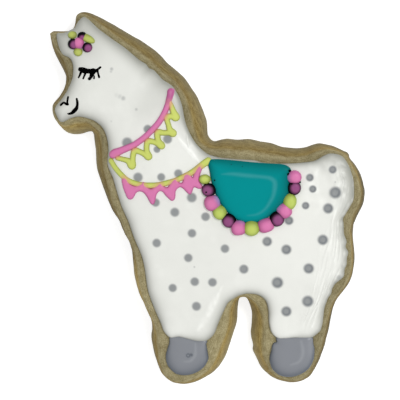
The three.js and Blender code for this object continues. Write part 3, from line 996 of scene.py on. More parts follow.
# Edge of the blanket, clockwise from the collar.
SADDLE_OUTLINE = (
    (0.9, 12.4), (1.6, 13.5), (3.3, 13.7), (7.3, 13.5), (13.1, 12.95), (18.9, 12.55), (22.0, 12.4),
    (23.8, 11.9), (24.9, 10.8), (24.6, 9.0), (24.4, 6.5), (24.3, 4.0), (23.4, 1.8), (21.6, -0.6),
    (19.0, -2.8), (16.5, -4.3), (14.0, -4.9), (11.5, -4.8), (9.2, -3.9), (7.2, -2.4), (5.2, -0.2),
    (3.7, 2.3), (2.6, 5.0), (1.8, 7.6), (1.4, 10.0),
)  # fmt: skip
# Ridges where the piping tip last passed: places and half widths.
SADDLE_RIDGE = (
    (5.0, 9.4, 0.5), (8.0, 9.5, 0.9), (12.0, 9.1, 1.0), (16.8, 8.7, 0.9), (18.9, 8.35, 1.0),
    (20.1, 7.4, 1.1), (20.3, 6.0, 1.1), (19.9, 3.4, 0.95), (19.0, 1.5, 0.9), (17.6, -0.6, 0.8),
    (15.4, -2.15, 0.7), (12.5, -2.6, 0.5),
)  # fmt: skip
FRONT_HOOF_RIDGE = (
    (-2.9, -41.5, 0.6), (-2.8, -43.5, 0.8), (-3.1, -45.2, 0.9), (-4.4, -46.8, 0.8), (-6.2, -47.0, 0.6),
)  # fmt: skip
HIND_HOOF_RIDGE = (
    (28.4, -40.0, 0.7), (28.9, -42.0, 0.9), (28.9, -44.0, 0.9), (27.9, -46.2, 0.8), (25.5, -47.2, 0.6),
)  # fmt: skip
FLOOD_RIDGES = (
    ((-8.2, 20.4, 0.5), (-6.7, 18.3, 0.8), (-5.0, 16.3, 1.0), (-3.3, 14.4, 1.0), (-1.7, 12.8, 0.6)),
    ((-5.3, 20.6, 0.3), (-5.0, 18.6, 0.5), (-4.6, 17.0, 0.4)),
    ((-13.5, 39.5, 0.5), (-11.6, 37.0, 0.8), (-10.4, 35.2, 0.5)),
    ((33.4, -28.5, 0.4), (33.0, -31.5, 0.5), (31.6, -35.5, 0.4)),
    ((40.4, 11.8, 0.5), (38.8, 13.2, 0.4)),
    ((5.0, -24.0, 0.7), (2.8, -28.5, 1.5), (0.6, -33.0, 1.5), (-2.0, -37.0, 1.1)),
)  # fmt: skip
# Painted shade of a pool of icing: a place, the reach of its darker rim in mm and the share of that shade all
# over.
SADDLE_SHADE = (
    (2.0, 5.0, 1.1, 0.0), (24.0, 5.0, 2.4, 0.0), (12.0, 14.0, 2.1, 0.0), (12.0, -4.0, 0.6, 0.0),
)  # fmt: skip
HOOF_SHADE = (
    (-6.0, -51.0, 1.5, 0.0), (27.0, -51.0, 1.4, 0.0), (-6.0, -38.0, 0.15, 0.0),
    (27.0, -37.0, 0.15, 0.0),
)  # fmt: skip
RIM_SHADE = (
    (-46, 47, 1.2, 0.78), (-34, 55, 1.8, 0.66), (-36, 49, 1.0, 0.56), (-35, 43, 1.0, 0.3),
    (-22, 50, 2.7, 0.26), (-13, 42, 2.9, 0.13), (-3, 30, 2.6, 0.1), (-42, 34, 1.6, 0.3),
    (-34, 22, 1.5, 0.2), (-28, 6, 1.5, 0.18), (-20, -20, 1.4, 0.17), (-10, -41, 0.4, 0.18),
    (2, -37, 1.8, 0.17), (22, -41, 0.4, 0.12), (-17, -36, 1.9, 0.19), (6, -29, 1.7, 0.17),
    (15, -26, 1.1, 0.14), (33, -34, 1.3, 0.2), (42, -17, 1.4, 0.13), (39, -3, 1.7, 0.15),
    (46, 5, 2.9, 0.2), (20, 13, 1.2, 0.18), (-9, 33, 2.4, 0.36), (-6, 22, 1.5, 0.12),
    (-3, 16, 1.4, 0.11), (0, 0, 1.5, 0.17), (30, -8, 1.5, 0.12), (-28, 38, 1.5, 0.2),
)  # fmt: skip
# Bubbles that burst in the front hoof: places and widths.
HOOF_PITS = ((-5.0, -45.1, 0.95), (-4.1, -44.9, 0.5))
# The brushed strip down the tail: a height up the body, then its left and right side.
TAIL = (
    (13.0, 37.5, 42.5), (7.0, 39.5, 45.5), (0.5, 38.0, 43.5), (-4.0, 36.6, 40.3), (-8.0, 35.6, 40.6),
    (-13.0, 34.5, 41.6), (-18.0, 34.0, 41.4), (-23.0, 32.5, 38.6), (-29.0, 30.8, 35.6),
    (-34.0, 28.8, 33.6), (-38.0, 28.0, 32.5),
)  # fmt: skip
TAIL_SPAN = (27.5, 46.0)  # furthest left and right that the tail's close points go
# Dots dropped into the wet flood, then stray specks, smears and the pen's haze: a place, a width
# and a strength.
DOTS = (
    (-22.75, 18.3, 2.9, 1.0), (-16.7, 22.3, 2.3, 1.0), (-10.9, 19.4, 2.5, 1.0), (-14.0, 16.4, 1.9, 1.0),
    (-19.65, 8.2, 2.6, 1.0), (-12.8, 8.3, 2.2, 1.0), (-7.8, 9.4, 2.3, 1.0), (-3.85, 2.4, 2.7, 1.0),
    (-14.5, 0.8, 2.3, 1.0), (-8.85, -2.0, 2.5, 1.0), (0.2, -3.2, 2.4, 1.0), (-3.8, -8.15, 2.35, 1.0),
    (-14.25, -11.2, 2.4, 1.0), (-4.9, -15.5, 2.35, 1.0), (-9.55, -24.6, 2.3, 1.0),
    (-3.0, -22.6, 2.4, 1.0), (2.25, -22.7, 2.4, 1.0), (-2.5, -30.0, 2.5, 1.0), (5.9, -12.6, 2.35, 1.0),
    (11.45, -18.6, 2.5, 1.0), (18.2, -10.3, 2.6, 1.0), (23.8, -12.6, 2.7, 1.0),
    (21.3, -22.45, 3.1, 1.0), (24.0, -31.0, 2.8, 1.0), (30.2, -27.85, 3.1, 1.0),
    (30.35, -18.1, 2.8, 1.0), (34.3, -9.6, 2.8, 1.0), (35.7, -0.4, 2.75, 1.0), (29.2, 0.35, 2.0, 1.0),
    (24.45, -4.05, 2.4, 1.0), (30.3, 8.5, 2.05, 1.0), (36.8, 10.85, 2.1, 1.0), (31.2, 5.2, 2.0, 1.0),
    (37.65, 4.2, 3.2, 1.0), (37.6, 7.25, 0.6, 0.4), (-3.1, -18.2, 0.7, 0.4), (-20.0, 28.0, 1.0, 0.4),
    (-27.1, 39.6, 1.1, 0.55), (-27.3, 38.9, 0.9, 0.35), (-27.4, 24.5, 0.7, 0.2),
    (-25.8, 32.1, 1.5, 0.14), (-24.8, 31.7, 1.5, 0.28), (-23.8, 31.2, 1.5, 0.5),
    (39.2, -20.7, 1.7, 0.5), (38.3, -22.4, 1.3, 0.3), (40.2, -17.5, 1.1, 0.2), (-34.5, 39.2, 3.2, 0.13),
    (-32.4, 38.9, 3.0, 0.13), (-33.2, 37.2, 2.4, 0.18), (-38.3, 29.0, 3.4, 0.12),
)  # fmt: skip


@dataclass(frozen=True)
class Stroke:
    """One pull of a piping bag or pen: points in plan, each with its half width."""

    rows: tuple[tuple[float, float, float], ...]

    def depth(self, x: Array, y: Array) -> Array:
        """How far points lie inside the stroke.

        Between each pair of rows it is the half width at the nearest point of the middle line
        less the distance to that point, and the greatest of these counts.

        Args:
            x: First coordinates.
            y: Second coordinates.

        Returns:
            Depths, negative outside.
        """
        rows = np.array(self.rows)
        if len(rows) > 2:
            rows = refine(rows, 4, closed=False)
        best = np.full(x.shape, -1e3)
        for (ax, ay, ar), (bx, by, br) in zip(rows[:-1], rows[1:]):
            run = (bx - ax) ** 2 + (by - ay) ** 2
            share = np.clip(((x - ax) * (bx - ax) + (y - ay) * (by - ay)) / max(run, 1e-9), 0, 1)
            gap = np.hypot(x - ax - share * (bx - ax), y - ay - share * (by - ay))
            best = np.maximum(best, ar + share * (br - ar) - gap)
        return best


@dataclass(frozen=True)
class Patch:
    """Icing piped to and fro until it filled an outline, given by its corners in plan."""

    rows: tuple[tuple[float, float], ...]

    def depth(self, x: Array, y: Array) -> Array:
        """How far points lie inside the smooth outline."""
        return depth_inside(x, y, refine(np.array(self.rows), 5))


@dataclass
class Flood(Pool):
    """The white flood: level under the saddle, dotted while wet, and brushed along the tail."""

    saddle: Array = field(default_factory=lambda: np.zeros((0, 2)))
    brushed: float = 0.11  # height of a brushed ridge, mm
    brush_lines: float = 8.0  # ridges across the tail
    uneven: float = 0.03  # height of the slow unevenness, mm
    ripple: float = 0.012  # height of the finer unevenness, mm
    dabbed: float = 0.2  # height of the dabs on the rump, mm
    dabs: tuple[float, float] = (37.0, 6.0)  # middle of the dabs

    def shoulder_at(self, x: Array, y: Array) -> Array:
        """Width of the shoulder, which is steep under the saddle's edge and against the hooves.

        Args:
            x: First coordinates.
            y: Second coordinates.

        Returns:
            The width at each point.
        """
        away = -depth_inside(x, y, self.saddle)
        reach = spread(self.spots, x, y, self.blend)[0]
        free = self.shoulder * np.clip(reach / 1.4, 0.3, 1.0)
        return 0.8 + (free - 0.8) * smoothstep(away, 0.3, 4.0)

    def relief(self, x: Array, y: Array) -> Array:
        """Brushed tail: cosine ridges across it that wander along it, over a slow unevenness.

        Args:
            x: First coordinates.
            y: Second coordinates.

        Returns:
            Heights, in millimetres.
        """
        rows = np.array(TAIL)[::-1]
        left, right = np.interp(y, rows[:, 0], rows[:, 1]), np.interp(y, rows[:, 0], rows[:, 2])
        across = (x - left) / (right - left)
        fade = smoothstep(across, -0.4, 0.3) * smoothstep(across, 1.05, 0.8)
        fade = fade * smoothstep(y, rows[0, 0], rows[0, 0] + 7) * smoothstep(y, rows[-1, 0], rows[-1, 0] - 5)
        wander = across * self.brush_lines + 0.8 * value_noise(across * 2, y / 9, 21)
        ridges = 0.3 * np.cos(2 * np.pi * wander) + 1.2 * value_noise(wander * 2.3, y / 4, 22)
        ridges = ridges + 1.3 * smoothstep(across, 0.3, 0.8) * value_noise(wander * 1.6, y / 1.7, 28)
        slow = self.uneven * value_noise(x / 9, y / 9, 23)
        slow = slow + self.ripple * value_noise(x / 2.5, y / 2.5, 24)
        near = 1 - smoothstep(np.hypot(x - self.dabs[0], y - self.dabs[1]), 4.0, 11.0)
        dabs = self.dabbed * value_noise(x / 1.6, y / 1.6, 25) * near
        return super().relief(x, y) + slow + dabs + self.brushed * fade * ridges

    def extra(self) -> Array:
        """Close points over the tail's ridges and rings of points round each dot.

        Returns:
            Points in plan.
        """
        rows = np.array(TAIL)
        columns, levels = np.arange(*TAIL_SPAN, 0.22), np.arange(rows[-1, 0], rows[0, 0], 0.4)
        x, y = np.meshgrid(columns, levels, indexing="ij")
        left, right = (np.interp(y, rows[::-1, 0], rows[::-1, k]) for k in (1, 2))
        keep = (x > left - 1) & (x < right + 1)
        # a slight sway, so that no four points lie on one circle
        tail = np.stack([x[keep] + 0.011 * np.sin(y[keep] * 9), y[keep]], 1)
        dots, around = np.array(DOTS), np.linspace(0, 2 * np.pi, 22, endpoint=False)
        radius = np.array([0.0001, 0.3, 0.55, 0.75, 0.87, 0.97, 1.07, 1.17, 1.3])[:, None]
        ring = np.stack([radius * np.cos(around), radius * np.sin(around)], -1).reshape(1, -1, 2)
        rings = dots[:, None, :2] + ring * dots[:, None, 2:3] / 2
        return np.concatenate([super().extra(), tail, rings.reshape(-1, 2)])

    def marks(self, x: Array, y: Array, depth: Array) -> dict[str, Array]:
        """The rim's painted shade, taken off along the ridges as a painted highlight, and the dots' colour,
        with a ring of painted shade on the dots to the right, deeper on their right and lower side.

        A dot is full inside its `core` and eased out past its edge. Faint smears ease out from
        near their middle.

        Args:
            x: First coordinates.
            y: Second coordinates.
            depth: Depth inside the outline.

        Returns:
            The marks by name.
        """
        dots = np.array(DOTS).T[:, :, None]
        reach = np.hypot(x - dots[0], y - dots[1]) / dots[2] * 2
        # painted shade: a darker ring on the dots to the right, deeper towards their right and lower side
        side_shade = 1 + (x - dots[0] - 0.5 * (y - dots[1])) / dots[2]
        ring = smoothstep(reach, 0.35, 0.75) * smoothstep(x, 5.0, 22.0) * side_shade
        core = np.where(dots[3] < 0.6, 0.2, 0.72)
        ink = dots[3] * (1 - smoothstep(reach, core, 1.38)) * (0.86 + 0.14 * ring)
        marks = super().marks(x, y, depth)
        # painted highlight: the rim's darker colour is taken off along the ridges, broken by noise
        broken = 0.6 + 0.4 * value_noise(x / 0.8, y / 1.2, 26)
        glint = np.clip(self.relief(x, y) / self.crest, 0, 1) * broken
        return {"edge": np.clip(marks["edge"] - 0.3 * glint, 0, 1), "bleed": ink.max(0)}


@dataclass
class WhiteIcing:
    """The white flood over the whole llama."""

    base: float = 10.0
    thickness: float = 1.75
    rim: float = 0.4
    shoulder: float = 5.5
    spill: tuple[float, float] = (-39.2, 51.0)  # where it ran to the edge, between the ears
    spill_width: float = 2.5
    spill_by: float = 0.75  # how far it ran, mm
    scallop: float = 0.35  # how far the brush left the tail's edge uneven, mm
    scallop_length: float = 1.7
    spacing: float = 0.4  # between points of the outline

    def pool(self) -> Flood:
        """The flood's surface, which everything else on it is laid on.

        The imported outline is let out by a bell-shaped bulge at the spill, and pushed in and out
        along the tail by noise.

        Returns:
            The flood.
        """
        outline = pool_outline("white_icing", self.base, self.rim, self.spacing)
        away = ((outline - self.spill) ** 2).sum(1, keepdims=True)
        outline = outline - inward(outline) * self.spill_by * np.exp(-away / self.spill_width**2)
        x, y = outline[:, :1], outline[:, 1:]
        ragged = smoothstep(x, 30.0, 36.0) * smoothstep(y, -34.0, -26.0) * smoothstep(y, 10.0, 6.0)
        walked = np.arange(len(outline))[:, None] * self.spacing / self.scallop_length
        outline = outline + inward(outline) * self.scallop * ragged * value_noise(walked, 0 * walked, 27)
        saddle = evenly(refine(np.array(SADDLE_OUTLINE), 6), 1.0)[::-1]
        ridges = tuple(Stroke(rows) for rows in FLOOD_RIDGES)
        shape = (outline, self.base, self.thickness, self.rim, self.shoulder, 0.62, 0.8)
        return Flood(*shape, spots=RIM_SHADE, ridges=ridges, crest=0.12, saddle=saddle)

    def build(self, pool: Flood) -> None:
        """Builds and dresses the flood.

        Args:
            pool: The flood's surface.
        """
        finish = RoyalIcing(Tint.WHITE, 0.3, 0.3)
        add_piece("white_flood", pool.shape(), finish.material(), "white_icing")


@dataclass
class Saddle:
    """Teal saddle blanket, a second pool that ran out on the flood."""

    base: float = 11.75
    thickness: float = 1.3
    rim: float = 0.35
    shoulder: float = 4.0

    def build(self) -> None:
        """Builds and dresses the blanket."""
        outline = evenly(refine(np.array(SADDLE_OUTLINE), 8), 0.3)[::-1]
        shape = (outline, self.base, self.thickness, self.rim, self.shoulder, 0.4, 0.4)
        pool = Pool(*shape, spots=SADDLE_SHADE, ridges=(Stroke(SADDLE_RIDGE),), crest=0.06, glow=0.28)
        # painted highlight: a paler teal on the ridge
        finish = RoyalIcing(Tint.TEAL, 0.28, 0.02, bled="#63b4b9")
        add_piece("teal_saddle_blanket", pool.shape(), finish.material(), "saddle_icing")


@dataclass
class Hooves:
    """Two grey pools on the bare feet, each run up against the white flood.

    The pits' places lie on the front foot, so they leave nothing in the hind hoof.
    """

    base: float = 10.0
    thickness: float = 1.5
    rim: float = 0.4
    shoulder: float = 4.0
    reach: float = 0.95  # how far the top edge runs on to meet the flood, mm

    def build(self) -> None:
        """Builds and dresses both hooves."""
        # painted highlight: a paler grey on each hoof's ridge
        finish = RoyalIcing(Tint.GREY, 0.28, 0.25, 0.9, "#c8ccd0").material()
        for leg, ridge in (("front", FRONT_HOOF_RIDGE), ("hind", HIND_HOOF_RIDGE)):
            node = f"{leg}_hoof_icing"
            outline = pool_outline(node, self.base, self.rim, 0.3)
            into = inward(outline)
            outline = outline - into * self.reach * smoothstep(-into[:, 1:], 0.3, 0.8)
            shape = (outline, self.base, self.thickness, self.rim, self.shoulder, 0.4, 0.4)
            left = {"ridges": (Stroke(ridge),), "crest": 0.035, "pits": HOOF_PITS}
            pool = Pool(*shape, spots=HOOF_SHADE, **left)
            add_piece(f"{leg}_hoof", pool.shape(), finish, node)


# ------------------------------------------------------------------ piping and pen


@dataclass
class Relief:
    """Strokes or patches laid on the flood that melt into each other where they meet.

    Their depth fields are joined by a soft maximum, and the height over the flood is a dome of
    that depth. The mesh is a fine grid cut to them, a little wider and sunk out of sight.
    """

    parts: tuple[Stroke | Patch, ...]
    height: float
    half: float  # depth at which the dome is full
    step: float  # cell of the grid
    melt: float = 0.12  # width over which two strokes run together
    sink: float = 0.25  # how far the grid's rim is sunk
    beside: Stroke | Patch | None = None  # neighbour whose colour runs in
    bled: float = 0.6  # greatest share of the neighbour's colour
    thin: Stroke | None = None  # stretch dragged out thin, which has its edge's colour
    edge: float = 0.28  # reach of the rim's darker colour, painted shade, mm

    def shape(self, flood: Pool) -> Shape:
        """Closed mesh of the strokes.

        Args:
            flood: The surface that they lie on.

        Returns:
            The shape, with its `edge` and `bleed` marks.
        """
        rows = np.concatenate([np.array(part.rows)[:, :2] for part in self.parts])
        low, high = rows.min(0) - 2.5, rows.max(0) + 2.5
        x, y = np.meshgrid(*(np.arange(low[k], high[k], self.step) for k in (0, 1)), indexing="ij")
        fields = np.stack([part.depth(x, y) for part in self.parts])
        peak = fields.max(0)
        depth = peak + self.melt * np.log(np.exp((fields - peak) / self.melt).sum(0))
        dome = self.height * np.sqrt(1 - (1 - np.clip(depth / self.half, 0, 1)) ** 2.3)
        ground = flood.surface(x, y)
        top = ground + dome - self.sink * smoothstep(-depth, 0, self.step * 1.5)
        keep = depth > -1.6 * self.step
        cells = keep[:-1, :-1] | keep[1:, :-1] | keep[:-1, 1:] | keep[1:, 1:]
        # cells that touch at a corner alone are joined, so that the sheet is pinched nowhere
        for _ in range(3):
            a, b, c, d = cells[:-1, :-1], cells[1:, 1:], cells[1:, :-1], cells[:-1, 1:]
            touch = (a & b & ~c & ~d) | (~a & ~b & c & d)
            for part in (a, b, c, d):
                part |= touch
        # painted shade: the rim's darker colour fades in towards a stroke's edge
        marks = {"edge": np.exp(-np.clip(depth, 0, None) / self.edge)}
        if self.thin:
            marks["edge"] = np.maximum(marks["edge"], smoothstep(self.thin.depth(x, y), -1.4, 0.2))
        if self.beside:
            marks["bleed"] = self.bled * smoothstep(self.beside.depth(x, y), -1.0, 0.1)
        return self.sheet(np.stack([x, y, top], -1), ground - self.sink - 0.1, cells, marks)

    def sheet(self, top: Array, under: Array, cells: Array, marks: dict[str, Array]) -> Shape:
        """A grid sheet with a top, an underside and a side all round the chosen cells.

        Args:
            top: Points of the top.
            under: Heights of the underside.
            cells: Which cells the sheet covers.
            marks: Numbers at each point.

        Returns:
            The shape.
        """
        size = under.size
        number = np.arange(size).reshape(under.shape)
        corner = [number[:-1, :-1], number[1:, :-1], number[1:, 1:], number[:-1, 1:]]
        quads = np.stack([c[cells] for c in corner], 1)
        framed = np.pad(cells, 1)
        beyond = (framed[1:-1, :-2], framed[2:, 1:-1], framed[1:-1, 2:], framed[:-2, 1:-1])
        sides = []
        for a, covered in enumerate(beyond):
            rim = cells & ~covered
            p, q = corner[a][rim], corner[(a + 1) % 4][rim]
            sides.append(np.stack([p + size, q + size, q, p], 1))
        faces = np.concatenate([quads, quads[:, ::-1] + size, *sides])
        used, faces = np.unique(faces, return_inverse=True)
        flat = top.reshape(-1, 3)
        low = np.column_stack([flat[:, :2], under.ravel()])
        kept = {name: np.tile(mark.ravel(), 2)[used] for name, mark in marks.items()}
        return Shape(np.concatenate([flat, low])[used], faces.reshape(-1, 4).tolist(), kept)


# Piped lines: places and half widths.
PINK_LINE = (
    (-9.95, 33.1, 1.0), (-10.1, 32.2, 0.92), (-10.5, 30.7, 0.85), (-10.9, 29.1, 0.84),
    (-11.55, 27.5, 0.84), (-12.4, 25.8, 0.87), (-13.7, 23.9, 0.87), (-15.4, 22.05, 0.87),
    (-17.0, 20.45, 0.86), (-18.8, 19.0, 0.87), (-20.7, 17.7, 0.9), (-22.75, 16.75, 0.96),
    (-24.8, 15.9, 1.05), (-26.4, 15.2, 1.25), (-27.1, 14.8, 1.15),
)  # fmt: skip
PINK_LINE_END = Stroke(((-9.9, 33.4, 0.9), (-10.4, 30.6, 0.6)))
# Edge of the fringe, clockwise from its left end.
PINK_FRINGE = (
    (-24.5, 7.6), (-23.8, 8.3), (-22.8, 7.8), (-22.2, 6.6), (-21.1, 5.8), (-20.0, 5.8), (-18.9, 6.4),
    (-18.0, 6.8), (-17.4, 6.0), (-16.7, 5.3), (-15.9, 4.9), (-14.9, 5.4), (-13.9, 6.2), (-13.0, 6.8),
    (-12.4, 6.3), (-11.8, 5.5), (-11.0, 5.4), (-10.4, 6.2), (-9.7, 7.3), (-8.8, 8.0), (-8.1, 7.7),
    (-7.6, 6.9), (-6.9, 6.7), (-6.5, 7.2), (-6.4, 8.4), (-6.0, 9.2), (-5.2, 9.5), (-4.3, 9.2),
    (-3.6, 8.4), (-3.3, 9.3), (-2.7, 10.7), (-2.0, 11.6), (-1.3, 11.9), (-0.8, 11.4), (-0.8, 10.8),
    (-1.2, 9.8), (-1.5, 8.6), (-1.6, 7.3), (-1.1, 6.4), (-0.6, 5.6), (-1.0, 5.1), (-1.9, 5.0),
    (-2.9, 5.4), (-3.4, 5.1), (-3.8, 3.9), (-4.2, 3.4), (-4.7, 3.4), (-5.4, 4.0), (-6.4, 5.0),
    (-7.2, 5.4), (-8.0, 5.0), (-8.6, 4.1), (-8.7, 2.5), (-9.1, 1.6), (-9.8, 1.4), (-10.5, 1.9),
    (-11.5, 2.9), (-12.3, 3.9), (-13.0, 4.2), (-13.7, 3.9), (-14.3, 2.9), (-14.6, 1.4), (-15.0, 0.4),
    (-15.7, 0.3), (-16.3, 1.1), (-17.0, 2.4), (-17.9, 3.6), (-18.7, 4.0), (-19.6, 4.0), (-20.3, 3.5),
    (-20.9, 2.4), (-21.6, 1.7), (-22.4, 1.7), (-23.0, 2.3), (-23.6, 3.7), (-24.1, 5.0), (-24.4, 6.4),
)  # fmt: skip
LIME_LINE = (
    (-27.7, 13.0, 0.77), (-26.9, 11.65, 0.77), (-25.9, 10.3, 0.77), (-24.6, 8.9, 0.77),
    (-23.0, 7.47, 0.77), (-21.1, 6.57, 0.81), (-18.7, 5.97, 0.81), (-16.1, 5.82, 0.84),
    (-13.7, 5.97, 0.81), (-11.35, 6.52, 0.81), (-9.0, 7.22, 0.77), (-6.7, 8.22, 0.81),
    (-4.3, 9.45, 0.84), (-2.3, 10.8, 0.88), (-0.6, 12.1, 1.0), (0.95, 13.1, 1.05),
)  # fmt: skip
LIME_ZIGZAG = (
    (-10.3, 30.1, 0.65), (-9.7, 28.7, 0.75), (-9.2, 27.3, 0.89), (-8.5, 25.7, 1.13), (-9.5, 26.0, 0.89),
    (-11.0, 25.8, 0.89), (-11.1, 25.2, 0.82), (-10.6, 23.5, 0.75), (-10.2, 22.1, 0.89),
    (-9.3, 21.1, 1.09), (-10.4, 21.3, 0.85), (-12.0, 21.2, 0.79), (-13.6, 21.4, 0.92),
    (-13.9, 20.6, 0.89), (-13.6, 18.9, 0.85), (-12.7, 17.5, 1.09), (-13.9, 18.2, 0.85),
    (-15.4, 18.7, 0.82), (-16.6, 18.7, 0.92), (-17.0, 17.7, 0.82), (-17.0, 15.9, 0.82),
    (-16.5, 14.3, 1.09), (-17.6, 15.0, 0.85), (-19.1, 15.7, 0.79), (-20.5, 16.0, 0.92),
    (-21.0, 14.8, 0.82), (-21.2, 13.3, 0.85), (-21.4, 11.6, 1.13), (-22.4, 12.9, 0.89),
    (-23.8, 13.4, 0.72), (-25.6, 13.8, 0.72),
)  # fmt: skip
# Pen lines: places and half widths. The first is the lid and the rest are lashes.
EYE = (
    ((-36.4, 39.55, 0.58), (-35.5, 39.3, 0.8), (-34.3, 39.05, 0.68), (-33.2, 39.0, 0.65),
     (-32.1, 39.1, 0.58), (-31.2, 39.2, 0.28)),
    ((-32.8, 39.45, 0.32), (-32.4, 39.5, 0.32)),
    ((-36.2, 38.6, 0.36), (-36.5, 37.9, 0.28), (-36.9, 37.2, 0.22)),
    ((-34.8, 38.6, 0.4), (-35.1, 37.8, 0.27), (-35.5, 36.9, 0.22)),
    ((-33.2, 38.5, 0.32), (-33.4, 37.7, 0.2)),
    ((-32.3, 38.8, 0.52), (-32.7, 38.0, 0.4), (-33.2, 37.3, 0.42), (-33.7, 36.8, 0.4)),
    ((-32.2, 37.6, 0.14), (-32.3, 36.95, 0.24)),
    ((-31.25, 39.0, 0.25), (-31.05, 38.2, 0.25), (-30.8, 37.3, 0.3)),
    ((-31.8, 39.1, 0.3), (-31.1, 39.6, 0.28), (-30.4, 40.1, 0.28)),
)  # fmt: skip
# Nostril and mouth, drawn the same way.
MUZZLE = (
    ((-42.4, 29.25, 0.3), (-41.5, 29.9, 0.28), (-40.7, 29.5, 0.32), (-40.2, 29.45, 0.3)),
    ((-40.35, 29.4, 0.29), (-40.35, 30.4, 0.27), (-40.15, 31.5, 0.29)),
    ((-37.5, 31.0, 0.27), (-37.35, 30.1, 0.35), (-37.4, 29.1, 0.38), (-37.7, 28.2, 0.5),
     (-38.4, 27.5, 0.53), (-39.1, 26.9, 0.38), (-39.9, 26.65, 0.27), (-40.3, 26.7, 0.14)),
)  # fmt: skip


@dataclass
class Piping:
    """Two piped collars: a line with a zigzag under it, and a line with a full fringe under it."""

    height: float = 0.7
    step: float = 0.13
    orange: str = "#dc9484"  # pink and lime run together

    def build(self, flood: Pool) -> None:
        """Builds and dresses the four piped lines.

        Args:
            flood: The surface that they lie on.
        """
        pink, lime = (RoyalIcing(t, 0.35, 0.2, 0.8, self.orange).material() for t in (Tint.PINK, Tint.LIME))
        pink_line, lime_line, fringe = Stroke(PINK_LINE), Stroke(LIME_LINE), Patch(PINK_FRINGE)
        # name, shape, share of the height, depth of a full dome, neighbour and its share, finish
        jobs = (
            ("lime_zigzag", Stroke(LIME_ZIGZAG), 0.9, 0.6, pink_line, 0.75, lime),
            ("lime_collar_line", lime_line, 0.86, 0.55, fringe, 0.5, lime),
            ("pink_collar_line", pink_line, 1.0, 0.75, Stroke(LIME_ZIGZAG), 0.3, pink),
            ("pink_fringe", fringe, 1.0, 0.8, lime_line, 0.12, pink),
        )
        for name, part, share, half, beside, bled, material in jobs:
            thin = PINK_LINE_END if part is pink_line else None
            sizes = (self.height * share, half, self.step)
            relief = Relief((part,), *sizes, beside=beside, bled=bled, thin=thin)
            add_piece(name, relief.shape(flood), material)


@dataclass
class PenFace:
    """Closed eye with its lashes, nostril and mouth, drawn with a food pen."""

    film: float = 0.04  # thickness of the ink
    step: float = 0.07
    creep: float = 0.03  # how far the ink crept past the pen's own line, mm

    def build(self, flood: Pool) -> None:
        """Builds and dresses the drawn face.

        Args:
            flood: The surface that it is drawn on.
        """
        material = FoodInk().material()
        for name, lines in (("drawn_eye", EYE), ("drawn_muzzle", MUZZLE)):
            parts = tuple(Stroke(tuple((x, y, r + self.creep) for x, y, r in rows)) for rows in lines)
            relief = Relief(parts, self.film, 0.1, self.step, melt=0.03, sink=0.06)
            add_piece(name, relief.shape(flood), material)


# ------------------------------------------------------------------ drops


@dataclass(frozen=True)
class Drop:
    """A drop of icing: its middle, width, length and turn in plan, and its tint.

    `square` is the power of its outline: 2 for a round drop, more for one that neighbours squeezed.
    `dark` points to the side that takes the colour that ran in, a neighbour's on pink and lime drops and
    near-black on purple ones, and `stain` is its share all over.
    """

    x: float
    y: float
    width: float
    length: float
    tint: Tint
    turn: float = 0.0
    square: float = 2.0
    dark: tuple[float, float] = (0.0, 0.0)
    stain: float = 0.0

    def shape(self, ground: float, rise: float) -> Shape:
        """Closed dome with a sunk foot.

        The outline is |cos|^n + |sin|^n = r^-n round the middle, and the height is the root of
        one less the radius to a power, which keeps the top broad.

        Args:
            ground: Height of the surface at the middle.
            rise: Height of the dome.

        Returns:
            The shape, with its `edge` and `bleed` marks.
        """
        sides = 44
        radius = np.array([0.9, 0.97, 1.0, 0.995, 0.975, 0.94, 0.88, 0.79, 0.66, 0.5, 0.33, 0.16])
        lift = np.concatenate([[-0.45, -0.2, -0.02], np.sqrt(1 - radius[3:] ** 2.7) * rise])
        around = np.linspace(0, 2 * np.pi, sides, endpoint=False)
        cosine, sine = np.cos(around), np.sin(around)
        bulge = (np.abs(cosine) ** self.square + np.abs(sine) ** self.square) ** (-1 / self.square)
        u, v = radius[:, None] * bulge * cosine, radius[:, None] * bulge * sine
        turn = np.radians(self.turn)
        across, along = u * self.width / 2, v * self.length / 2
        x = self.x + across * np.cos(turn) - along * np.sin(turn)
        y = self.y + across * np.sin(turn) + along * np.cos(turn)
        z = np.broadcast_to((ground + lift)[:, None], x.shape)
        body = np.stack([x, y, z], -1).reshape(-1, 3)
        poles = np.array([[self.x, self.y, ground + rise], [self.x, self.y, ground - 0.45]])
        count, last = len(body), len(body) - sides
        ring = np.arange(sides)
        turned = np.roll(ring, -1)
        cap = np.stack([last + ring, last + turned, np.full(sides, count)], 1)
        base = np.stack([turned, ring, np.full(sides, count + 1)], 1)
        faces = bands(len(radius), sides).tolist() + cap.tolist() + base.tolist()
        reach = np.hypot(u + 0.2 * self.dark[0], v + 0.2 * self.dark[1]).ravel()
        # the rim darkens: slowly on pink and lime as painted shade of the dome, and sharply to a near-black
        # ring on purple, thicker on the `dark` side
        edge = smoothstep(reach, *((0.38, 0.97) if self.tint is Tint.PURPLE else (0.25, 1.05)))
        toward = ((x - self.x) * self.dark[0] + (y - self.y) * self.dark[1]).ravel() / self.width * 2
        bleed = np.maximum(smoothstep(toward, 0.3, 1.2), self.stain)
        marks = {"edge": np.append(edge, [0.0, 1.0]), "bleed": np.append(bleed, [self.stain, 0.0])}
        return Shape(np.concatenate([body, poles]), faces, marks)


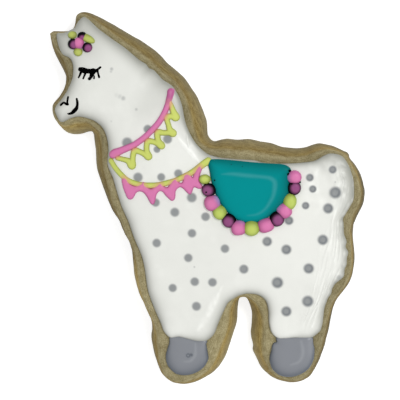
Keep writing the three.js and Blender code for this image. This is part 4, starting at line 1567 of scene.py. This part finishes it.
PINK, LIME, PURPLE = Tint.PINK, Tint.LIME, Tint.PURPLE
BEADS = (
    Drop(0.0, 7.8, 3.5, 2.9, LIME, dark=(0.3, -0.3), stain=0.2),
    Drop(1.2, 4.7, 4.3, 4.0, PURPLE, dark=(0.95, 0.3)),
    Drop(2.15, 0.9, 4.65, 4.7, PINK, 10, 2.3, (0.9, 0.45)),
    Drop(4.35, -1.85, 4.1, 4.4, LIME, 20, dark=(0.7, 0.6), stain=0.35),
    Drop(7.1, -4.2, 4.2, 4.3, PURPLE, dark=(0.6, 0.8)),
    Drop(9.9, -6.3, 4.5, 4.4, PINK, 10, 2.7, (0.2, 0.7)),
    Drop(13.65, -6.4, 4.8, 4.6, LIME, dark=(0.0, 0.8), stain=0.3),
    Drop(17.8, -5.5, 4.8, 4.15, PINK, 18, 2.6, (-0.3, 0.6)),
    Drop(21.0, -3.55, 4.4, 4.55, PURPLE, dark=(-0.7, 0.7)),
    Drop(23.1, -1.2, 4.15, 4.4, PINK, 35, 2.6, (-0.7, 0.4)),
    Drop(24.65, 1.5, 3.9, 4.9, LIME, -10, dark=(-0.8, 0.2), stain=0.35),
    Drop(25.9, 5.5, 3.9, 4.2, PURPLE, dark=(-0.8, 0.0)),
    Drop(25.85, 8.6, 4.2, 4.0, PINK, dark=(-0.9, 0.0)),
)
FLOWER = (
    Drop(-38.3, 46.8, 3.1, 3.1, PURPLE, dark=(-1.5, 0.9)),
    Drop(-34.15, 45.8, 3.0, 2.9, PURPLE, dark=(-1.4, 0.9)),
    Drop(-35.6, 49.0, 2.8, 2.6, PURPLE, dark=(-0.6, 2.8)),
    Drop(-36.6, 47.0, 3.1, 3.5, PINK, dark=(0.3, -0.5)),
    Drop(-38.5, 49.35, 2.7, 2.3, LIME, dark=(0.9, -0.6), stain=0.45),
    Drop(-36.85, 44.55, 2.7, 2.5, LIME, dark=(-0.3, 0.9), stain=0.35),
    Drop(-34.2, 48.4, 5.0, 2.3, LIME, -26, dark=(-1.2, 0.3), stain=0.35),
)
# Specks of dye: a place with its height, and a width.
SPECKS = (
    (2.9, 7.6, 12.8, 0.45), (0.5, 4.15, 13.4, 0.5), (24.2, 9.5, 12.75, 0.8), (24.5, 10.5, 12.6, 0.75),
    (25.2, 6.7, 13.1, 0.5), (27.5, 7.2, 12.4, 0.6), (7.7, 12.25, 12.8, 0.24), (10.9, 11.7, 12.86, 0.22),
)  # fmt: skip


@dataclass
class Drops:
    """Beads round the saddle, petals of the flower and specks of dye, gathered by their tint."""

    bead_base: float = 12.1
    bead_rise: float = 0.33  # share of a bead's width
    petal_rise: float = 0.34  # share of a petal's width
    violet: str = "#8c93c6"  # teal that ran into pink
    olive: str = "#929d54"  # pink and purple that ran into lime, on the flower
    leaf: str = "#9fc257"  # teal that ran into lime, round the saddle

    def build(self, flood: Pool) -> None:
        """Builds and dresses the drops.

        Args:
            flood: The surface that they stand on.
        """
        # tint, roughness, gloss, strength of the edge and the colour that ran in
        finishes = (
            RoyalIcing(PINK, 0.38, 0.2, 0.75, self.violet),
            RoyalIcing(LIME, 0.38, 0.2, 1.0, self.olive),
            RoyalIcing(PURPLE, 0.3, 0.06, 1.0, Tint.PURPLE.value[1]),
        )
        materials = {finish.tint: finish.material() for finish in finishes}
        leafy = RoyalIcing(LIME, 0.38, 0.2, 1.0, self.leaf).material()
        for name, drops, share in (("bead", BEADS, self.bead_rise), ("petal", FLOWER, self.petal_rise)):
            gathered: dict[Tint, Shape] = {}
            for drop in drops:
                on_flood = float(flood.surface(np.array(drop.x), np.array(drop.y)))
                ground = self.bead_base if name == "bead" else on_flood
                shape = drop.shape(ground, share * min(drop.width, drop.length))
                gathered[drop.tint] = gathered[drop.tint].joined(shape) if drop.tint in gathered else shape
            for tint, shape in gathered.items():
                finish = leafy if name == "bead" and tint is LIME else materials[tint]
                add_piece(f"{tint.name.lower()}_{name}s", shape, finish)
        specks = [Drop(x, y, width, width, PURPLE).shape(z, 0.15) for x, y, z, width in SPECKS]
        for speck in specks:
            speck.marks["edge"][:] = 1.0
        dust = specks[0]
        for speck in specks[1:]:
            dust = dust.joined(speck)
        add_piece("dye_specks", dust, materials[PURPLE])


# ------------------------------------------------------------------ studio


@dataclass
class Studio:
    """White board, soft lights and the camera."""

    eye: tuple[float, float, float] = (20.5, 32.5, 275.0)
    target: tuple[float, float, float] = (-2.0, 0.9, 5.0)
    lens: float = 82.0
    board: float = 3000.0

    def floor(self) -> None:
        """Board under the cookie."""
        half = self.board / 2
        corners = [(-half, -half, 0), (half, -half, 0), (half, half, 0), (-half, half, 0)]
        mesh = bpy.data.meshes.new("board")
        mesh.from_pydata([tuple(c * MM for c in corner) for corner in corners], [], [(0, 1, 2, 3)])
        mesh.materials.append(PlainFloor().material())
        floor = bpy.data.objects.new("board", mesh)
        bpy.context.scene.collection.objects.link(floor)

    def light(self, name: str, place: tuple[float, float, float], size: float, power: float) -> None:
        """One square soft light aimed at the cookie.

        Args:
            name: Name of the light.
            place: Its middle, in millimetres.
            size: Its side, in millimetres.
            power: Its power, in watts.
        """
        lamp = bpy.data.lights.new(name, "AREA")
        lamp.size = size * MM
        lamp.energy = power
        holder = bpy.data.objects.new(name, lamp)
        holder.location = Vector(place) * MM
        holder.rotation_euler = (-holder.location).to_track_quat("-Z", "Y").to_euler()
        bpy.context.scene.collection.objects.link(holder)

    def camera(self) -> None:
        """Camera above the llama's back, with +Y up in its frame."""
        eye, target = Vector(self.eye) * MM, Vector(self.target) * MM
        forward = (target - eye).normalized()
        right = forward.cross(Vector((0, 1, 0))).normalized()
        up = right.cross(forward)
        data = bpy.data.cameras.new("camera")
        data.lens = self.lens
        data.clip_start = 0.01
        holder = bpy.data.objects.new("camera", data)
        holder.matrix_world = Matrix.Translation(eye) @ Matrix((right, up, -forward)).transposed().to_4x4()
        bpy.context.scene.collection.objects.link(holder)
        bpy.context.scene.camera = holder

    def build(self) -> None:
        """Sets the board, lights, sky and camera."""
        self.floor()
        self.camera()
        self.light("key", (290, 230, 560), 130, 1.45)
        self.light("fill", (330, -290, 420), 300, 0.5)
        world = bpy.data.worlds.new("studio")
        world.use_nodes = True
        world.node_tree.nodes["Background"].inputs["Color"].default_value = (1, 1, 1, 1)
        world.node_tree.nodes["Background"].inputs["Strength"].default_value = 0.62
        bpy.context.scene.world = world
        bpy.context.scene.view_settings.view_transform = "Standard"


def main() -> None:
    """Builds the cookie's sub-assemblies in order, then the studio."""
    logging.basicConfig(level=logging.INFO, format="%(message)s")
    Biscuit().build()
    white = WhiteIcing()
    flood = white.pool()
    white.build(flood)
    Saddle().build()
    Hooves().build()
    Piping().build(flood)
    Drops().build(flood)
    PenFace().build(flood)
    Studio().build()


if __name__ == "__main__":
    main()
